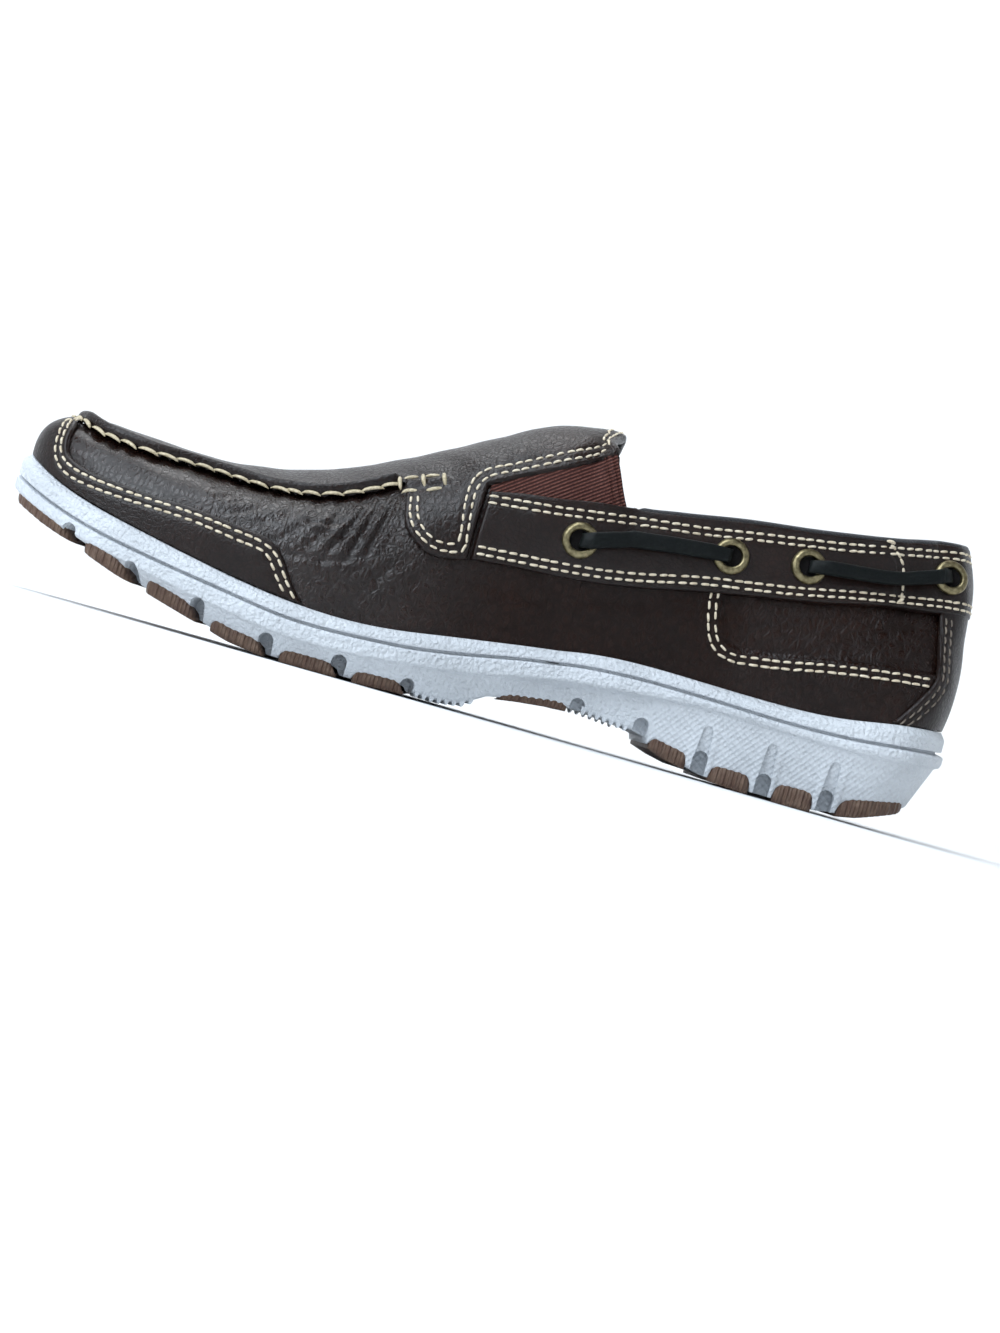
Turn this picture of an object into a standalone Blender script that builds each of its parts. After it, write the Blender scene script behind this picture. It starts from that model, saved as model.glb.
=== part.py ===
"""Moc-toe loafer, right shoe, on a white moulded sole. Metres, +X to the toe,
+Y to the inner (medial) side, +Z up, the ground at z = 0.

The tables are in millimetres. In them x runs from the back of the heel, y from
the heel-to-toe axis (inner side positive) and z from the ground. The upper is a
skin of upright ribs that stand all round the featherline, the line where the
leather meets the sole. Every leather piece is cut from that one skin."""

import math
from collections import namedtuple
from functools import lru_cache

import bmesh
import bpy
import numpy as np
from mathutils import Matrix, Vector
from mathutils.kdtree import KDTree

# Driving dimensions, millimetres
MM = 0.001
MIDDLE_X = 149.4        # middle of the length, from the back of the heel
MIDDLE_Y = -7.1         # middle of the width, from the heel-to-toe axis
GAP = 0.3               # between two pieces that touch
WALL = 2.0              # leather and lining of the upper
RABBET = 3.6            # how deep the upper stands inside the sole's rim
OVERLAY = 1.2           # a leather overlay
RIB_STEP = 11.0         # spacing of the ribs along the featherline
INNER, OUTER = 1, -1    # the two sides: medial and lateral

# Ribs of the last, one row for each. The foot of the rib is on the featherline.
# The rib leans in towards (aim, mid) in plan; low, high, brow and top are points
# on it, each as its distance in from the foot and its height. Rows with no top_in
# end on the middle line, the others end at the collar.
Rib = namedtuple("Rib", "x z inner outer aim mid low_in low_z high_in high_z "
                        "brow_in brow_z top_in top_z")
RIBS = [Rib(*row) for row in (
    (1.2, 35.3, 1.5, 1.5, 32, 1.5, -1.3, 50, 0.0, 64, 1.2, 80, 6.0, 94.3),
    (3.4, 35.0, 16.5, -13.5, 32, 1.5, -1.2, 49, 1.0, 64, 4.2, 80, 9.0, 93.0),
    (9.2, 34.2, 27.0, -24.0, 32, 1.5, -0.7, 47, 4.5, 63, 11.5, 78, 16.0, 91.6),
    (20, 32.8, 33.8, -31.0, 33, 1.5, 0.2, 45, 6.5, 60, 13.6, 75, 16.6, 89.8),
    (35, 30.2, 34.0, -32.2, 38, 1.2, -0.2, 44, 5.2, 60, 9.8, 73, 12.0, 87.3),
    (57, 28.9, 30.7, -32.2, 57, 1.2, -1.2, 44, 1.0, 60, 3.6, 72, 5.4, 83.4),
    (81, 29.2, 27.8, -32.7, 81, 1.6, -2.2, 43, -2.6, 57, -1.8, 69, -0.8, 79.7),
    (100, 29.2, 27.5, -34.5, 100, 2.0, -2.4, 42, -3.4, 55, -3.0, 66, -1.8, 76.2),
    (113, 28.3, 27.2, -36.0, 115, 2.2, -2.8, 42, -4.3, 55, -3.6, 65, -1.4, 74.4),
    (119, 27.4, 27.0, -37.0, 120.5, 2.1, -3.2, 42, -5.2, 55, -4.0, 68, -0.2, 82.5),
    (125, 26.3, 26.8, -38.2, 122.6, 2.0, -3.5, 42, -5.8, 55, -3.6, 72, 3.2, 90.5),
    (130.5, 25.6, 27.4, -39.3, 122.2, 1.8, -3.5, 41, -6.0, 54, -1.4, 78, 14.0, 96.4),
    (137, 24.6, 28.7, -40.6, 122.4, 1.5, -3.3, 40, -5.6, 53, 2.2, 82, None, 98.1),
    (148, 22.8, 31.2, -43.5, 140, 1.2, -2.0, 38, -3.4, 53, 5.0, 79, None, 95.2),
    (160, 20.8, 34.5, -47.0, 158, 0.8, -0.8, 35, -0.8, 50, 7.2, 73, None, 86.2),
    (172, 18.8, 37.5, -50.2, 172, 0.4, -0.3, 33, 2.4, 50, 10.4, 65, None, 78.8),
    (187, 17.5, 39.2, -53.0, 188, -0.4, 0.0, 31, 4.0, 45, 11.3, 56, None, 70.4),
    (203, 17.9, 40.6, -55.0, 204, -1.3, 0.1, 31, 4.6, 43, 14.6, 52, None, 63.2),
    (227, 21.0, 39.8, -53.2, 226, -1.6, 0.2, 32.5, 4.8, 42.5, 16.0, 48.6, None, 56.9),
    (249, 25.2, 37.4, -46.5, 244, -0.3, 0.5, 34.5, 4.6, 43.5, 13.2, 49.0, None, 54.7),
    (268, 29.3, 32.6, -36.5, 258, 2.0, 0.7, 37.5, 4.0, 45.5, 10.6, 50.6, None, 54.8),
    (283.5, 34.2, 26.4, -24.0, 268, 4.0, 0.6, 42, 3.0, 48.5, 9.4, 52.6, None, 55.2),
    (293.6, 39.3, 18.6, -10.0, 274, 5.0, 0.3, 45, 2.4, 50.3, 8.6, 54.2, None, 55.5),
    (297.4, 41.6, 5.5, 5.5, 279, 5.5, 0.1, 45.5, 2.4, 51, 8.2, 54.8, None, 55.6))]
TIP = len(RIBS) - 1     # number of the rib at the toe tip
THROAT = 8              # rib at the front corner of the collar
TONGUE = 12             # rib at the middle of the tongue's tip

# How far the outer side's points lie further in, as a share of its extra width
LEAN = {"low_in": 0.2, "high_in": 0.55, "brow_in": 1.0, "top_in": 1.0}

# Side of the sole, one row for each place along x: how far its groove stands out
# from the featherline and lies below it, the second lip's depth and stand, how
# far the foot of the wall is tucked in, the height of the white foam's underside
# and of the pads' underside, and the undercut at the waist.
Side = namedtuple("Side", "x out drop lip stand tuck foam tread under")
SIDES = [Side(*row) for row in (
    (0, 3.0, 6.4, 4.4, 0.9, 5.6, 11.5, 9.0, 0),
    (12, 3.1, 6.6, 4.2, 0.9, 5.8, 9.0, 5.6, 0),
    (24, 3.2, 6.4, 3.8, 0.8, 6.0, 7.0, 2.2, 0),
    (36, 3.4, 5.4, 3.2, 0.8, 6.2, 5.4, 0.0, 0),
    (56, 4.2, 4.6, 2.5, 0.7, 6.0, 5.0, 0.0, 0),
    (72, 4.2, 4.3, 2.6, 0.7, 5.6, 5.2, 0.8, 0),
    (84, 3.4, 4.3, 3.2, 0.5, 5.0, 7.0, 3.4, 0.3),
    (96, 2.6, 4.3, 4.2, 0.3, 4.6, 9.6, 7.4, 2.4),
    (110, 2.0, 4.3, 4.8, 0.2, 4.4, 10.8, 9.4, 3.4),
    (121, 2.0, 4.0, 5.0, 0.2, 4.0, 10.6, 9.2, 3.4),
    (132, 2.1, 4.0, 5.2, 0.2, 3.6, 9.0, 7.9, 2.2),
    (141, 2.3, 4.3, 5.4, 0.2, 3.4, 7.2, 6.4, 0.4),
    (148, 2.4, 4.6, 5.4, 0.2, 3.4, 3.0, 2.0, 0),
    (156, 2.6, 4.8, 5.2, 0.2, 3.4, 1.9, 1.0, 0),
    (168, 3.0, 4.6, 4.8, 0.2, 3.6, 2.3, 0.6, 0),
    (180, 3.6, 4.1, 5.0, 0.2, 4.0, 2.0, 0.0, 0),
    (207.5, 3.8, 4.7, 5.0, 0.2, 4.2, 2.0, 0.0, 0),
    (220, 4.0, 4.6, 5.0, 0.2, 4.2, 3.6, 1.6, 0),
    (238, 3.6, 5.2, 4.7, 0.2, 4.0, 8.6, 6.4, 0),
    (256, 3.6, 5.9, 4.2, 0.2, 4.0, 13.4, 11.2, 0),
    (270, 4.2, 6.1, 4.0, 0.2, 4.4, 18.0, 16.0, 0),
    (284, 4.6, 6.2, 4.0, 0.2, 5.0, 22.6, 20.8, 0),
    (294, 4.2, 6.8, 4.0, 0.2, 5.6, 26.8, 25.2, 0),
    (300, 3.6, 7.0, 4.0, 0.2, 6.0, 29.0, 27.4, 0))]


def spline(knots, values, first=None, last=None):
    """Cubic through the values. An end slope that isn't given is a free end."""
    knots = np.asarray(knots, float)
    values = np.asarray(values, float)
    count = len(knots)
    width = np.diff(knots)
    rise = np.diff(values) / width
    system = np.zeros((count, count))
    right = np.zeros(count)
    system[0, :2] = (1, 0) if first is not None else (2, 1)
    right[0] = first if first is not None else 3 * rise[0]
    system[-1, -2:] = (0, 1) if last is not None else (1, 2)
    right[-1] = last if last is not None else 3 * rise[-1]
    for i in range(1, count - 1):
        system[i, i - 1:i + 2] = (width[i], 2 * (width[i - 1] + width[i]), width[i - 1])
        right[i] = 3 * (width[i] * rise[i - 1] + width[i - 1] * rise[i])
    slope = np.linalg.solve(system, right)

    def value(at):
        i = int(np.clip(np.searchsorted(knots, at) - 1, 0, count - 2))
        h = width[i]
        t = (at - knots[i]) / h
        return ((1 + 2 * t) * (1 - t) ** 2 * values[i] + t * (1 - t) ** 2 * h * slope[i]
                + t * t * (3 - 2 * t) * values[i + 1] + t * t * (t - 1) * h * slope[i + 1])
    return value


# ---- The last: a skin of ribs ------------------------------------------------

def side_value(rib, column, side):
    """A rib's value on one side; the outer side leans in by its extra width."""
    value = getattr(rib, column)
    if side == OUTER and column in LEAN:
        value += LEAN[column] * ((rib.mid - rib.outer) - (rib.inner - rib.mid))
    return value


def foot_y(rib, side):
    return rib.inner if side == INNER else rib.outer


def reach(rib, side):
    """Distance in plan from the rib's foot to the point that it leans to."""
    return math.hypot(rib.aim - rib.x, rib.mid - foot_y(rib, side))


# Places round the featherline are numbered by the ribs: 0 is the back of the heel,
# TIP the toe, on the inner side. Numbers past TIP run back along the outer side to
# TURN, and a negative number is on the outer side, counted from the heel.
TURN = 2 * TIP
LOOP = [(min(q % TURN, TURN - q % TURN), INNER if q % TURN <= TIP else OUTER)
        for q in range(-3, TURN + 4)]
LOOP_START = 3          # place of rib 0 in the loop
FEET = np.array([(RIBS[i].x, foot_y(RIBS[i], side)) for i, side in LOOP])
AROUND = np.concatenate([[0], np.cumsum(np.hypot(*np.diff(FEET, axis=0).T))])
LAP = AROUND[LOOP_START + TURN] - AROUND[LOOP_START]


def around(q):
    """Distance round the featherline at a place."""
    laps, rest = divmod(q, TURN)
    return float(np.interp(LOOP_START + rest, range(len(AROUND)), AROUND)) + laps * LAP


def loop_spline(column):
    if column == "y":
        values = [foot_y(RIBS[i], side) for i, side in LOOP]
    elif column == "top_in":
        values = [reach(RIBS[i], side) if RIBS[i].top_in is None
                  else side_value(RIBS[i], column, side) for i, side in LOOP]
    else:
        values = [side_value(RIBS[i], column, side) for i, side in LOOP]
    return spline(AROUND, values)


CURVES = {column: loop_spline(column) for column in Rib._fields + ("y",)
          if column not in ("inner", "outer")}


def station_of(q):
    """The rib number, from heel to toe, of a place on either side."""
    return min(q % TURN, TURN - q % TURN)


def column_at(column, q):
    """The values of the middle line are read on the inner side, so both sides meet."""
    if column in ("aim", "mid", "top_z") and station_of(q) >= TONGUE:
        q = station_of(q)
    return float(CURVES[column](around(q % TURN)))


@lru_cache(maxsize=None)
def rib_at(q):
    """Foot, direction in, and the spline of one rib: distance in and height."""
    foot = Vector((column_at("x", q), column_at("y", q)))
    aim = Vector((column_at("aim", q), column_at("mid", q)))
    inward = (aim - foot).normalized()
    closed = station_of(q) >= TONGUE
    points = [(0.0, column_at("z", q))]
    for name in ("low", "high", "brow", "top"):
        points.append((column_at(name + "_in", q), column_at(name + "_z", q)))
    if closed:
        points[-1] = ((aim - foot).length, points[-1][1])
    points = np.array(points)
    run = np.concatenate([[0], np.cumsum(np.hypot(*np.diff(points, axis=0).T))])
    inset = spline(run, points[:, 0])
    height = spline(run, points[:, 1], last=0.0 if closed else None)
    return foot, inward, inset, height, float(run[-1])


def skin(q, up):
    """A point of the skin. up is 0 at the featherline and 1 at the rib's top;
    below 0 the wall goes straight down into the sole."""
    foot, inward, inset, height, length = rib_at(q)
    along = max(up, 0.0) * length
    plan = foot + inward * inset(along)
    return Vector((plan.x, plan.y, height(along) + min(up, 0.0) * length))


def past_top(q, up):
    """A point of the skin; past the top of a rib that ends on the middle line it
    is the matching point of the other side."""
    if up > 1 and TONGUE <= station_of(q) < TIP - 0.1:
        return skin(-q, 2 - up)
    return skin(q, min(up, 1.0))


def outward(q, up):
    """The skin's unit normal, pointing out of the shoe."""
    step = 0.02
    up = max(up, 0.0)
    ends = [q - step, q + step]
    if station_of(q) >= TONGUE:      # not across the tongue's corner, where ribs change
        ends = [end if station_of(end) >= TONGUE else q for end in ends]
    height = min(up, 1 - step) if station_of(q) > TIP - 0.1 else up   # short of the pole
    ahead = skin(ends[1], height) - skin(ends[0], height)
    rise = past_top(q, up + step) - skin(q, max(up - step, 0.0))
    return rise.cross(ahead).normalized()


def skin_off(q, up, off):
    """A point that stands off the skin by a distance."""
    return skin(q, up) + outward(q, up) * off


@lru_cache(maxsize=None)
def up_at(q, z):
    """How far up its rib the skin reaches a height."""
    low, high = 0.0, 1.0
    for _ in range(24):
        middle = (low + high) / 2
        if skin(q, middle).z < z:
            low = middle
        else:
            high = middle
    return (low + high) / 2


def place_at(x, z):
    """The place on the inner side whose rib passes x at a height."""
    low, high = 0.0, float(TIP)
    for _ in range(24):
        middle = (low + high) / 2
        if skin(middle, up_at(middle, z)).x < x:
            low = middle
        else:
            high = middle
    return (low + high) / 2


def stations(first, last, step=RIB_STEP):
    """Places from first to last, about a step apart and half a step round the
    heel and toe, with every rib of the table among them."""
    marks = [first] + [q for q in range(-TURN, 2 * TURN) if first < q < last] + [last]
    places = []
    for start, end in zip(marks, marks[1:]):
        middle = station_of((start + end) / 2)
        rounded = middle < 3 or middle > TIP - 2
        parts = max(1, round((around(end) - around(start)) / (step / 2 if rounded else step)))
        places += [start + (end - start) * i / parts for i in range(parts)]
    return places + [last]


def line_on_skin(rows):
    """A seam or edge given by its (x, z) rows on the inner side: returns its height
    at a place on either side."""
    known = sorted((place_at(x, z), z) for x, z in rows)
    places = [q for q, _ in known]
    heights = [z for _, z in known]
    return lambda q: float(np.interp(station_of(q), places, heights))


# ---- Making solids -----------------------------------------------------------

parts = bpy.data.collections.new("loafer")
cutters = bpy.data.collections.new("cutters")
MATERIALS = {
    "leather": ((0.055, 0.030, 0.022, 1), 0.42, 0.0),
    "white_foam": ((0.78, 0.80, 0.84, 1), 0.60, 0.0),
    "brown_rubber": ((0.20, 0.11, 0.07, 1), 0.65, 0.0),
    "lining": ((0.020, 0.020, 0.022, 1), 0.85, 0.0),
    "elastic": ((0.16, 0.045, 0.028, 1), 0.80, 0.0),
    "brass": ((0.42, 0.32, 0.17, 1), 0.38, 1.0),
    "lace_leather": ((0.012, 0.015, 0.014, 1), 0.50, 0.0)}


def to_world(point):
    return Vector((point[0] - MIDDLE_X, point[1] - MIDDLE_Y, point[2])) * MM


def finish_of(name):
    """The Principled material of a finish, made the first time it is asked for."""
    if name in bpy.data.materials:
        return bpy.data.materials[name]
    colour, roughness, metallic = MATERIALS[name]
    material = bpy.data.materials.new(name)
    material.use_nodes = True
    shader = material.node_tree.nodes["Principled BSDF"]
    shader.inputs["Base Color"].default_value = colour
    shader.inputs["Roughness"].default_value = roughness
    shader.inputs["Metallic"].default_value = metallic
    return material


def add_object(name, mesh, finish, collection=None):
    item = bpy.data.objects.new(name, mesh)
    (collection or parts).objects.link(item)
    if finish:
        mesh.materials.append(finish_of(finish))
        mesh.shade_smooth()
        mesh.set_sharp_from_angle(angle=math.radians(40))
    else:
        item.hide_render = True
        item.display_type = "WIRE"
    return item


def mesh_from(name, points, faces):
    """A mesh from points in millimetres; faces that close up are dropped."""
    frame = bmesh.new()
    corners = [frame.verts.new(to_world(point)) for point in points]
    for face in faces:
        frame.faces.new([corners[i] for i in face])
    bmesh.ops.remove_doubles(frame, verts=frame.verts, dist=0.00001)
    bmesh.ops.dissolve_degenerate(frame, edges=frame.edges, dist=0.00001)
    mesh = bpy.data.meshes.new(name)
    frame.to_mesh(mesh)
    frame.free()
    return mesh


def grid_faces(columns, rows, flip=False):
    """Two triangles for each cell, split the same way, so that pieces laid over one
    another on the same grid lie parallel."""
    faces = []
    for i in range(columns - 1):
        for j in range(rows - 1):
            near, far = i * rows + j, (i + 1) * rows + j
            faces += [[near, far, far + 1], [near, far + 1, near + 1]]
    return [face[::-1] for face in faces] if flip else faces


def solid_mesh(name, points, faces):
    """mesh_from with every face turned outward."""
    mesh = mesh_from(name, points, faces)
    frame = bmesh.new()
    frame.from_mesh(mesh)
    bmesh.ops.recalc_face_normals(frame, faces=frame.faces)
    frame.to_mesh(mesh)
    frame.free()
    return mesh


def shell(name, grids, finish, thickness, offset=1.0, weights=None, least=1.0):
    """Open grids of points (columns of rows), joined where they meet and made solid
    by Solidify. weights, one for each point, run from the least share of the
    thickness to the whole."""
    points, faces = [], []
    for grid in grids:
        start = len(points)
        points += [point for column in grid for point in column]
        faces += [[start + i for i in face] for face in grid_faces(len(grid), len(grid[0]))]
    mesh = solid_mesh(name, points, faces)
    item = add_object(name, mesh, finish)
    wall = item.modifiers.new("wall", "SOLIDIFY")
    wall.thickness = thickness * MM
    wall.offset = offset
    if weights:
        group = item.vertex_groups.new(name="thick")
        tree = KDTree(len(points))
        for i, point in enumerate(points):
            tree.insert(to_world(point), i)
        tree.balance()
        for vertex in mesh.vertices:
            nearest = tree.find(vertex.co)[1]
            group.add([vertex.index], weights[nearest], "REPLACE")
        wall.vertex_group = group.name
        wall.thickness_vertex_group = least
    return item


def slab(name, under, over, finish):
    """A closed solid between two grids of the same size."""
    columns, rows = len(under), len(under[0])
    count = columns * rows
    points = [p for column in under for p in column] + [p for column in over for p in column]
    faces = grid_faces(columns, rows, flip=True)
    faces += [[count + i for i in face] for face in grid_faces(columns, rows)]
    edge = [i * rows for i in range(columns)]
    edge += [(columns - 1) * rows + j for j in range(1, rows)]
    edge += [i * rows + rows - 1 for i in range(columns - 2, -1, -1)]
    edge += list(range(rows - 2, 0, -1))
    for a, b in zip(edge, edge[1:] + edge[:1]):
        faces.append([a, b, count + b, count + a])
    return add_object(name, solid_mesh(name, points, faces), finish,
                      parts if finish else cutters)


def cut(item, cutter):
    knife = item.modifiers.new("cut", "BOOLEAN")
    knife.operation = "DIFFERENCE"
    knife.object = cutter


# ---- Sole --------------------------------------------------------------------

SIDE_X = [row.x for row in SIDES]
SMOOTH = {name: spline(SIDE_X, [getattr(row, name) for row in SIDES])
          for name in ("out", "drop", "lip", "stand", "tuck")}


def sole_side(name, x):
    """A column of the side's table at x. The undersides run straight from row to
    row, so the heel and the ball of the foot are flat on the ground."""
    if name in SMOOTH:
        return float(SMOOTH[name](min(max(x, SIDE_X[0]), SIDE_X[-1])))
    return float(np.interp(x, SIDE_X, [getattr(row, name) for row in SIDES]))


def plan_normal(q):
    """Outward normal of the featherline in plan."""
    ahead = skin(q + 0.02, 0) - skin(q - 0.02, 0)
    return Vector((-ahead.y, ahead.x, 0)).normalized()


def sole_profile(q):
    """Distance out from the featherline and height of the sole's side, from the
    floor inside the rim over the band and groove to the underside."""
    foot = skin(q, 0)
    value = {name: sole_side(name, foot.x) for name in Side._fields[1:]}
    groove = foot.z - value["drop"]
    lip = groove - value["lip"]
    out = value["out"]
    wall = out - 1.0 - value["under"]
    base = value["foam"]
    edge = out - value["tuck"] - value["under"] * 0.4
    return [(GAP, foot.z - RABBET), (GAP, foot.z - GAP), (1.4, foot.z + 0.2),
            (out - 0.5, foot.z - 1.5), (out, groove + 1.0), (out - 1.4, groove + 0.3),
            (out - 1.2, groove - 0.5), (out + value["stand"], groove - 1.2),
            (out + value["stand"] * 0.6, lip), (wall, lip - 0.8 - value["under"] * 0.3),
            (edge, base + 0.8), (edge - 0.9, base)]


def beside_foot(q, out, z):
    """A point out from the featherline in plan, at a height."""
    plan = skin(q, 0) + plan_normal(q) * out
    return Vector((plan.x, plan.y, z))


def ring_solid(name, rings, finish):
    """A solid from profiles set round the heel, inner side, toe and outer side.
    Strips across from side to side close its top and its underside."""
    rows, count = len(rings[0]), len(rings)
    points = [point for ring in rings for point in ring]
    faces = []
    for i in range(count):
        k = (i + 1) % count
        faces += [[i * rows + j, k * rows + j, k * rows + j + 1, i * rows + j + 1]
                  for j in range(rows - 1)]
    for j in (0, rows - 1):
        for i in range(count // 2):
            corners = [i, i + 1, count - i - 1, (count - i) % count]
            faces.append([k * rows + j for n, k in enumerate(corners) if k not in corners[:n]])
    return add_object(name, solid_mesh(name, points, faces), finish)


def loop_of(places):
    """The places of a closed loop: inner side heel to toe, outer side back."""
    return places + [TURN - q for q in reversed(places[1:-1])]


def make_sole():
    rings = [[beside_foot(q, out, z) for out, z in sole_profile(q)]
             for q in loop_of(stations(0, TIP))]
    sole = ring_solid("sole", rings, "white_foam")
    cut(sole, make_notch_cutter())
    cut(sole, make_heel_groove_cutter())
    return sole


# Notches between the lugs: place along x, and the height of the ceiling
Notch = namedtuple("Notch", "x ceiling")
NOTCHES = [Notch(*row) for row in (
    (34.7, 8.1), (53.9, 7.7), (73.8, 9.2), (93.6, 14.0), (114, 14.4),
    (165.2, 6.0), (186.5, 7.2), (208.8, 7.5), (231, 12.0), (253, 16.8), (273.8, 23.0))]
NOTCH_WIDTH = 3.8
NOTCH_DEPTH = 8.0       # how far a notch runs in under the foot
GROOVE_TOP = 17.0       # top of the grooves in the heel's wall
GROOVE_DEPTH = 1.6
HEEL_NOTCHES = 3


def place_of_foot(x):
    """The place on the inner side whose foot is at x."""
    low, high = 0.0, float(TIP)
    for _ in range(24):
        middle = (low + high) / 2
        if skin(middle, 0).x < x:
            low = middle
        else:
            high = middle
    return (low + high) / 2


def prism(frame, section_near, section_far):
    """A closed prism between two sections with the same number of corners."""
    near = [frame.verts.new(to_world(point)) for point in section_near]
    far = [frame.verts.new(to_world(point)) for point in section_far]
    count = len(near)
    frame.faces.new(near)
    frame.faces.new(far[::-1])
    for i in range(count):
        k = (i + 1) % count
        frame.faces.new([near[k], near[i], far[i], far[k]])


def finish_cutter(name, frame):
    bmesh.ops.recalc_face_normals(frame, faces=frame.faces)
    mesh = bpy.data.meshes.new(name)
    frame.to_mesh(mesh)
    frame.free()
    return add_object(name, mesh, None, cutters)


def make_notch_cutter():
    """Round-topped slots that come in from both sides of the sole."""
    frame = bmesh.new()
    for notch in NOTCHES:
        for sign in (INNER, OUTER):
            q = place_of_foot(notch.x) * sign
            normal = plan_normal(q)
            along = Vector((-normal.y, normal.x, 0))
            edge = sole_profile(q)[-1][0]
            half = NOTCH_WIDTH / 2
            outline = [(-half, -5), (half, -5), (half, notch.ceiling - 1.6),
                       (half * 0.55, notch.ceiling - 0.3), (-half * 0.55, notch.ceiling - 0.3),
                       (-half, notch.ceiling - 1.6)]
            sections = []
            for out in (edge - NOTCH_DEPTH, edge + 12):
                middle = beside_foot(q, out, 0)
                sections.append([middle + along * a + Vector((0, 0, z)) for a, z in outline])
            prism(frame, *sections)
    return finish_cutter("notch_cutter", frame)


def make_heel_groove_cutter():
    """Upright tapered grooves in the heel's wall, above its notches."""
    frame = bmesh.new()
    for notch in NOTCHES[:HEEL_NOTCHES]:
        for sign in (INNER, OUTER):
            q = place_of_foot(notch.x) * sign
            normal = plan_normal(q)
            along = Vector((-normal.y, normal.x, 0))
            wall, foot = sole_profile(q)[-3], sole_profile(q)[-2]
            sections = []
            for depth in (GROOVE_DEPTH, -4):
                section = []
                for a, z in ((-1.8, notch.ceiling - 3), (1.8, notch.ceiling - 3),
                             (1.3, GROOVE_TOP - 1), (0.6, GROOVE_TOP), (-0.6, GROOVE_TOP),
                             (-1.3, GROOVE_TOP - 1)):
                    out = float(np.interp(z, (foot[1], wall[1]), (foot[0], wall[0])))
                    shallow = depth if z < GROOVE_TOP else min(depth, 0.3)
                    section.append(beside_foot(q, out - shallow, z) + along * a)
                sections.append(section)
            prism(frame, *sections)
    return finish_cutter("heel_groove_cutter", frame)


# Brown rubber pads: from x to x, between the notches
PADS = ((11, 32.4), (36.8, 51.8), (56.0, 71.7), (76.0, 91.2), (117.0, 137.0),
        (167.4, 184.4), (188.7, 206.7), (211.0, 228.9), (233.2, 250.8),
        (255.2, 271.7), (276.0, 297.0))


def make_pads():
    """Pads under the foam, from side to side, each with its lower edge eased."""
    for number, (start, end) in enumerate(PADS, 1):
        first, last = place_of_foot(start), place_of_foot(min(end, RIBS[TIP].x - 0.5))
        places = [first] + [q for q in stations(0, TIP) if first + 0.15 < q < last - 0.15]
        places.append(last)
        frame = bmesh.new()
        sections = []
        for q in places:
            section = []
            for sign in (INNER, OUTER):
                edge, base = sole_profile(q * sign)[-1]
                tread = sole_side("tread", skin(q, 0).x)
                rim = [beside_foot(q * sign, edge - 0.5, base - GAP - 0.2),
                       beside_foot(q * sign, edge - 0.5, tread + 0.6),
                       beside_foot(q * sign, edge - 1.3, tread)]
                section += rim if sign == INNER else rim[::-1]
            sections.append([frame.verts.new(to_world(point)) for point in section])
        for near, far in zip(sections, sections[1:]):
            for i in range(6):
                k = (i + 1) % 6
                frame.faces.new([near[i], near[k], far[k], far[i]])
        frame.faces.new(sections[0][::-1])
        frame.faces.new(sections[-1])
        bmesh.ops.recalc_face_normals(frame, faces=frame.faces)
        name = f"tread_pad_{number:02d}"
        mesh = bpy.data.meshes.new(name)
        frame.to_mesh(mesh)
        frame.free()
        add_object(name, mesh, "brown_rubber")


# ---- Upper -------------------------------------------------------------------

UPPER_ROWS = (0, 0.1, 0.22, 0.35, 0.48, 0.6, 0.72, 0.82, 0.91, 1)
SNAP = 0.02             # rows nearer than this to an edge fall on it


def make_upper():
    """One hollow wall: the vamp closes over the toes, the quarters end at the
    collar, and the bottom is open and stands inside the sole's rim. The inset
    panels at the rear quarters are a step in the wall."""
    grid = []
    for q in loop_of(upper_places()) + [TURN]:
        foot = -(RABBET - GAP) / rib_at(q)[4]
        grid.append([skin(q, up) for up in (foot,) + UPPER_ROWS])
    upper = shell("upper", [grid], "leather", WALL, offset=-1.0)
    for sign in (INNER, OUTER):
        cut(upper, make_panel_cutter(sign))
    return upper


def make_insole():
    """The footbed, set in from the upper's wall."""
    inset = WALL + 0.6
    thick = 4.0
    rings = []
    for q in loop_of(stations(0, TIP, 18)):
        floor = skin(q, 0).z - RABBET + GAP + 0.1
        rings.append([beside_foot(q, -inset - out, floor + z)
                      for out, z in ((0.0, 0.0), (0.0, thick - 1.0), (1.6, thick))])
    return ring_solid("insole", rings, "lining")


# ---- Leather laid over the upper ---------------------------------------------

# Edges and seams on the inner side, as (x, z) rows; the outer side repeats them
BAND_LOW = line_on_skin(((1.2, 72.2), (17, 69.2), (39, 65), (64, 59.8), (88, 55.2),
                         (118, 49.2), (143, 46.6), (157.5, 45)))
GORE_LOW = line_on_skin(((116.4, 74.2), (125, 72.8), (137, 70.4), (149, 68.3), (157.5, 66.2)))
TONGUE_EDGE = line_on_skin(((122.8, 88.8), (128, 85.4), (136, 80.6), (144, 76), (152, 71.6),
                            (158.5, 68), (171, 66), (182, 63), (190, 58.8), (201, 53.6),
                            (213, 50.4), (229, 49.6), (245, 50), (261, 50), (270, 50.8),
                            (279, 52.4), (283.4, 54), (286.8, 55.1)))
WING_LOW = line_on_skin(((158.7, 44.6), (164, 43.2), (170, 43.6), (175, 45.6), (179, 49),
                         (180.6, 53), (182, 59), (184, 61.6)))
GUARD_HIGH = line_on_skin(((201.5, 18.9), (206.5, 25), (210.5, 30.6), (215, 33.8), (223, 35.4),
                           (239, 37), (255, 37.7), (266, 38.6), (276, 40.2), (281.5, 42),
                           (284, 45), (290, 46)))
TOE_HIGH = line_on_skin(((283, 51.6), (286, 53.2), (288.6, 54.7)))
PANEL_LOW = line_on_skin(((12.5, 50.8), (39, 47), (62, 42.8), (71, 41.6), (76, 43.4),
                          (79.4, 48.6), (81, 56.6)))
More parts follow.
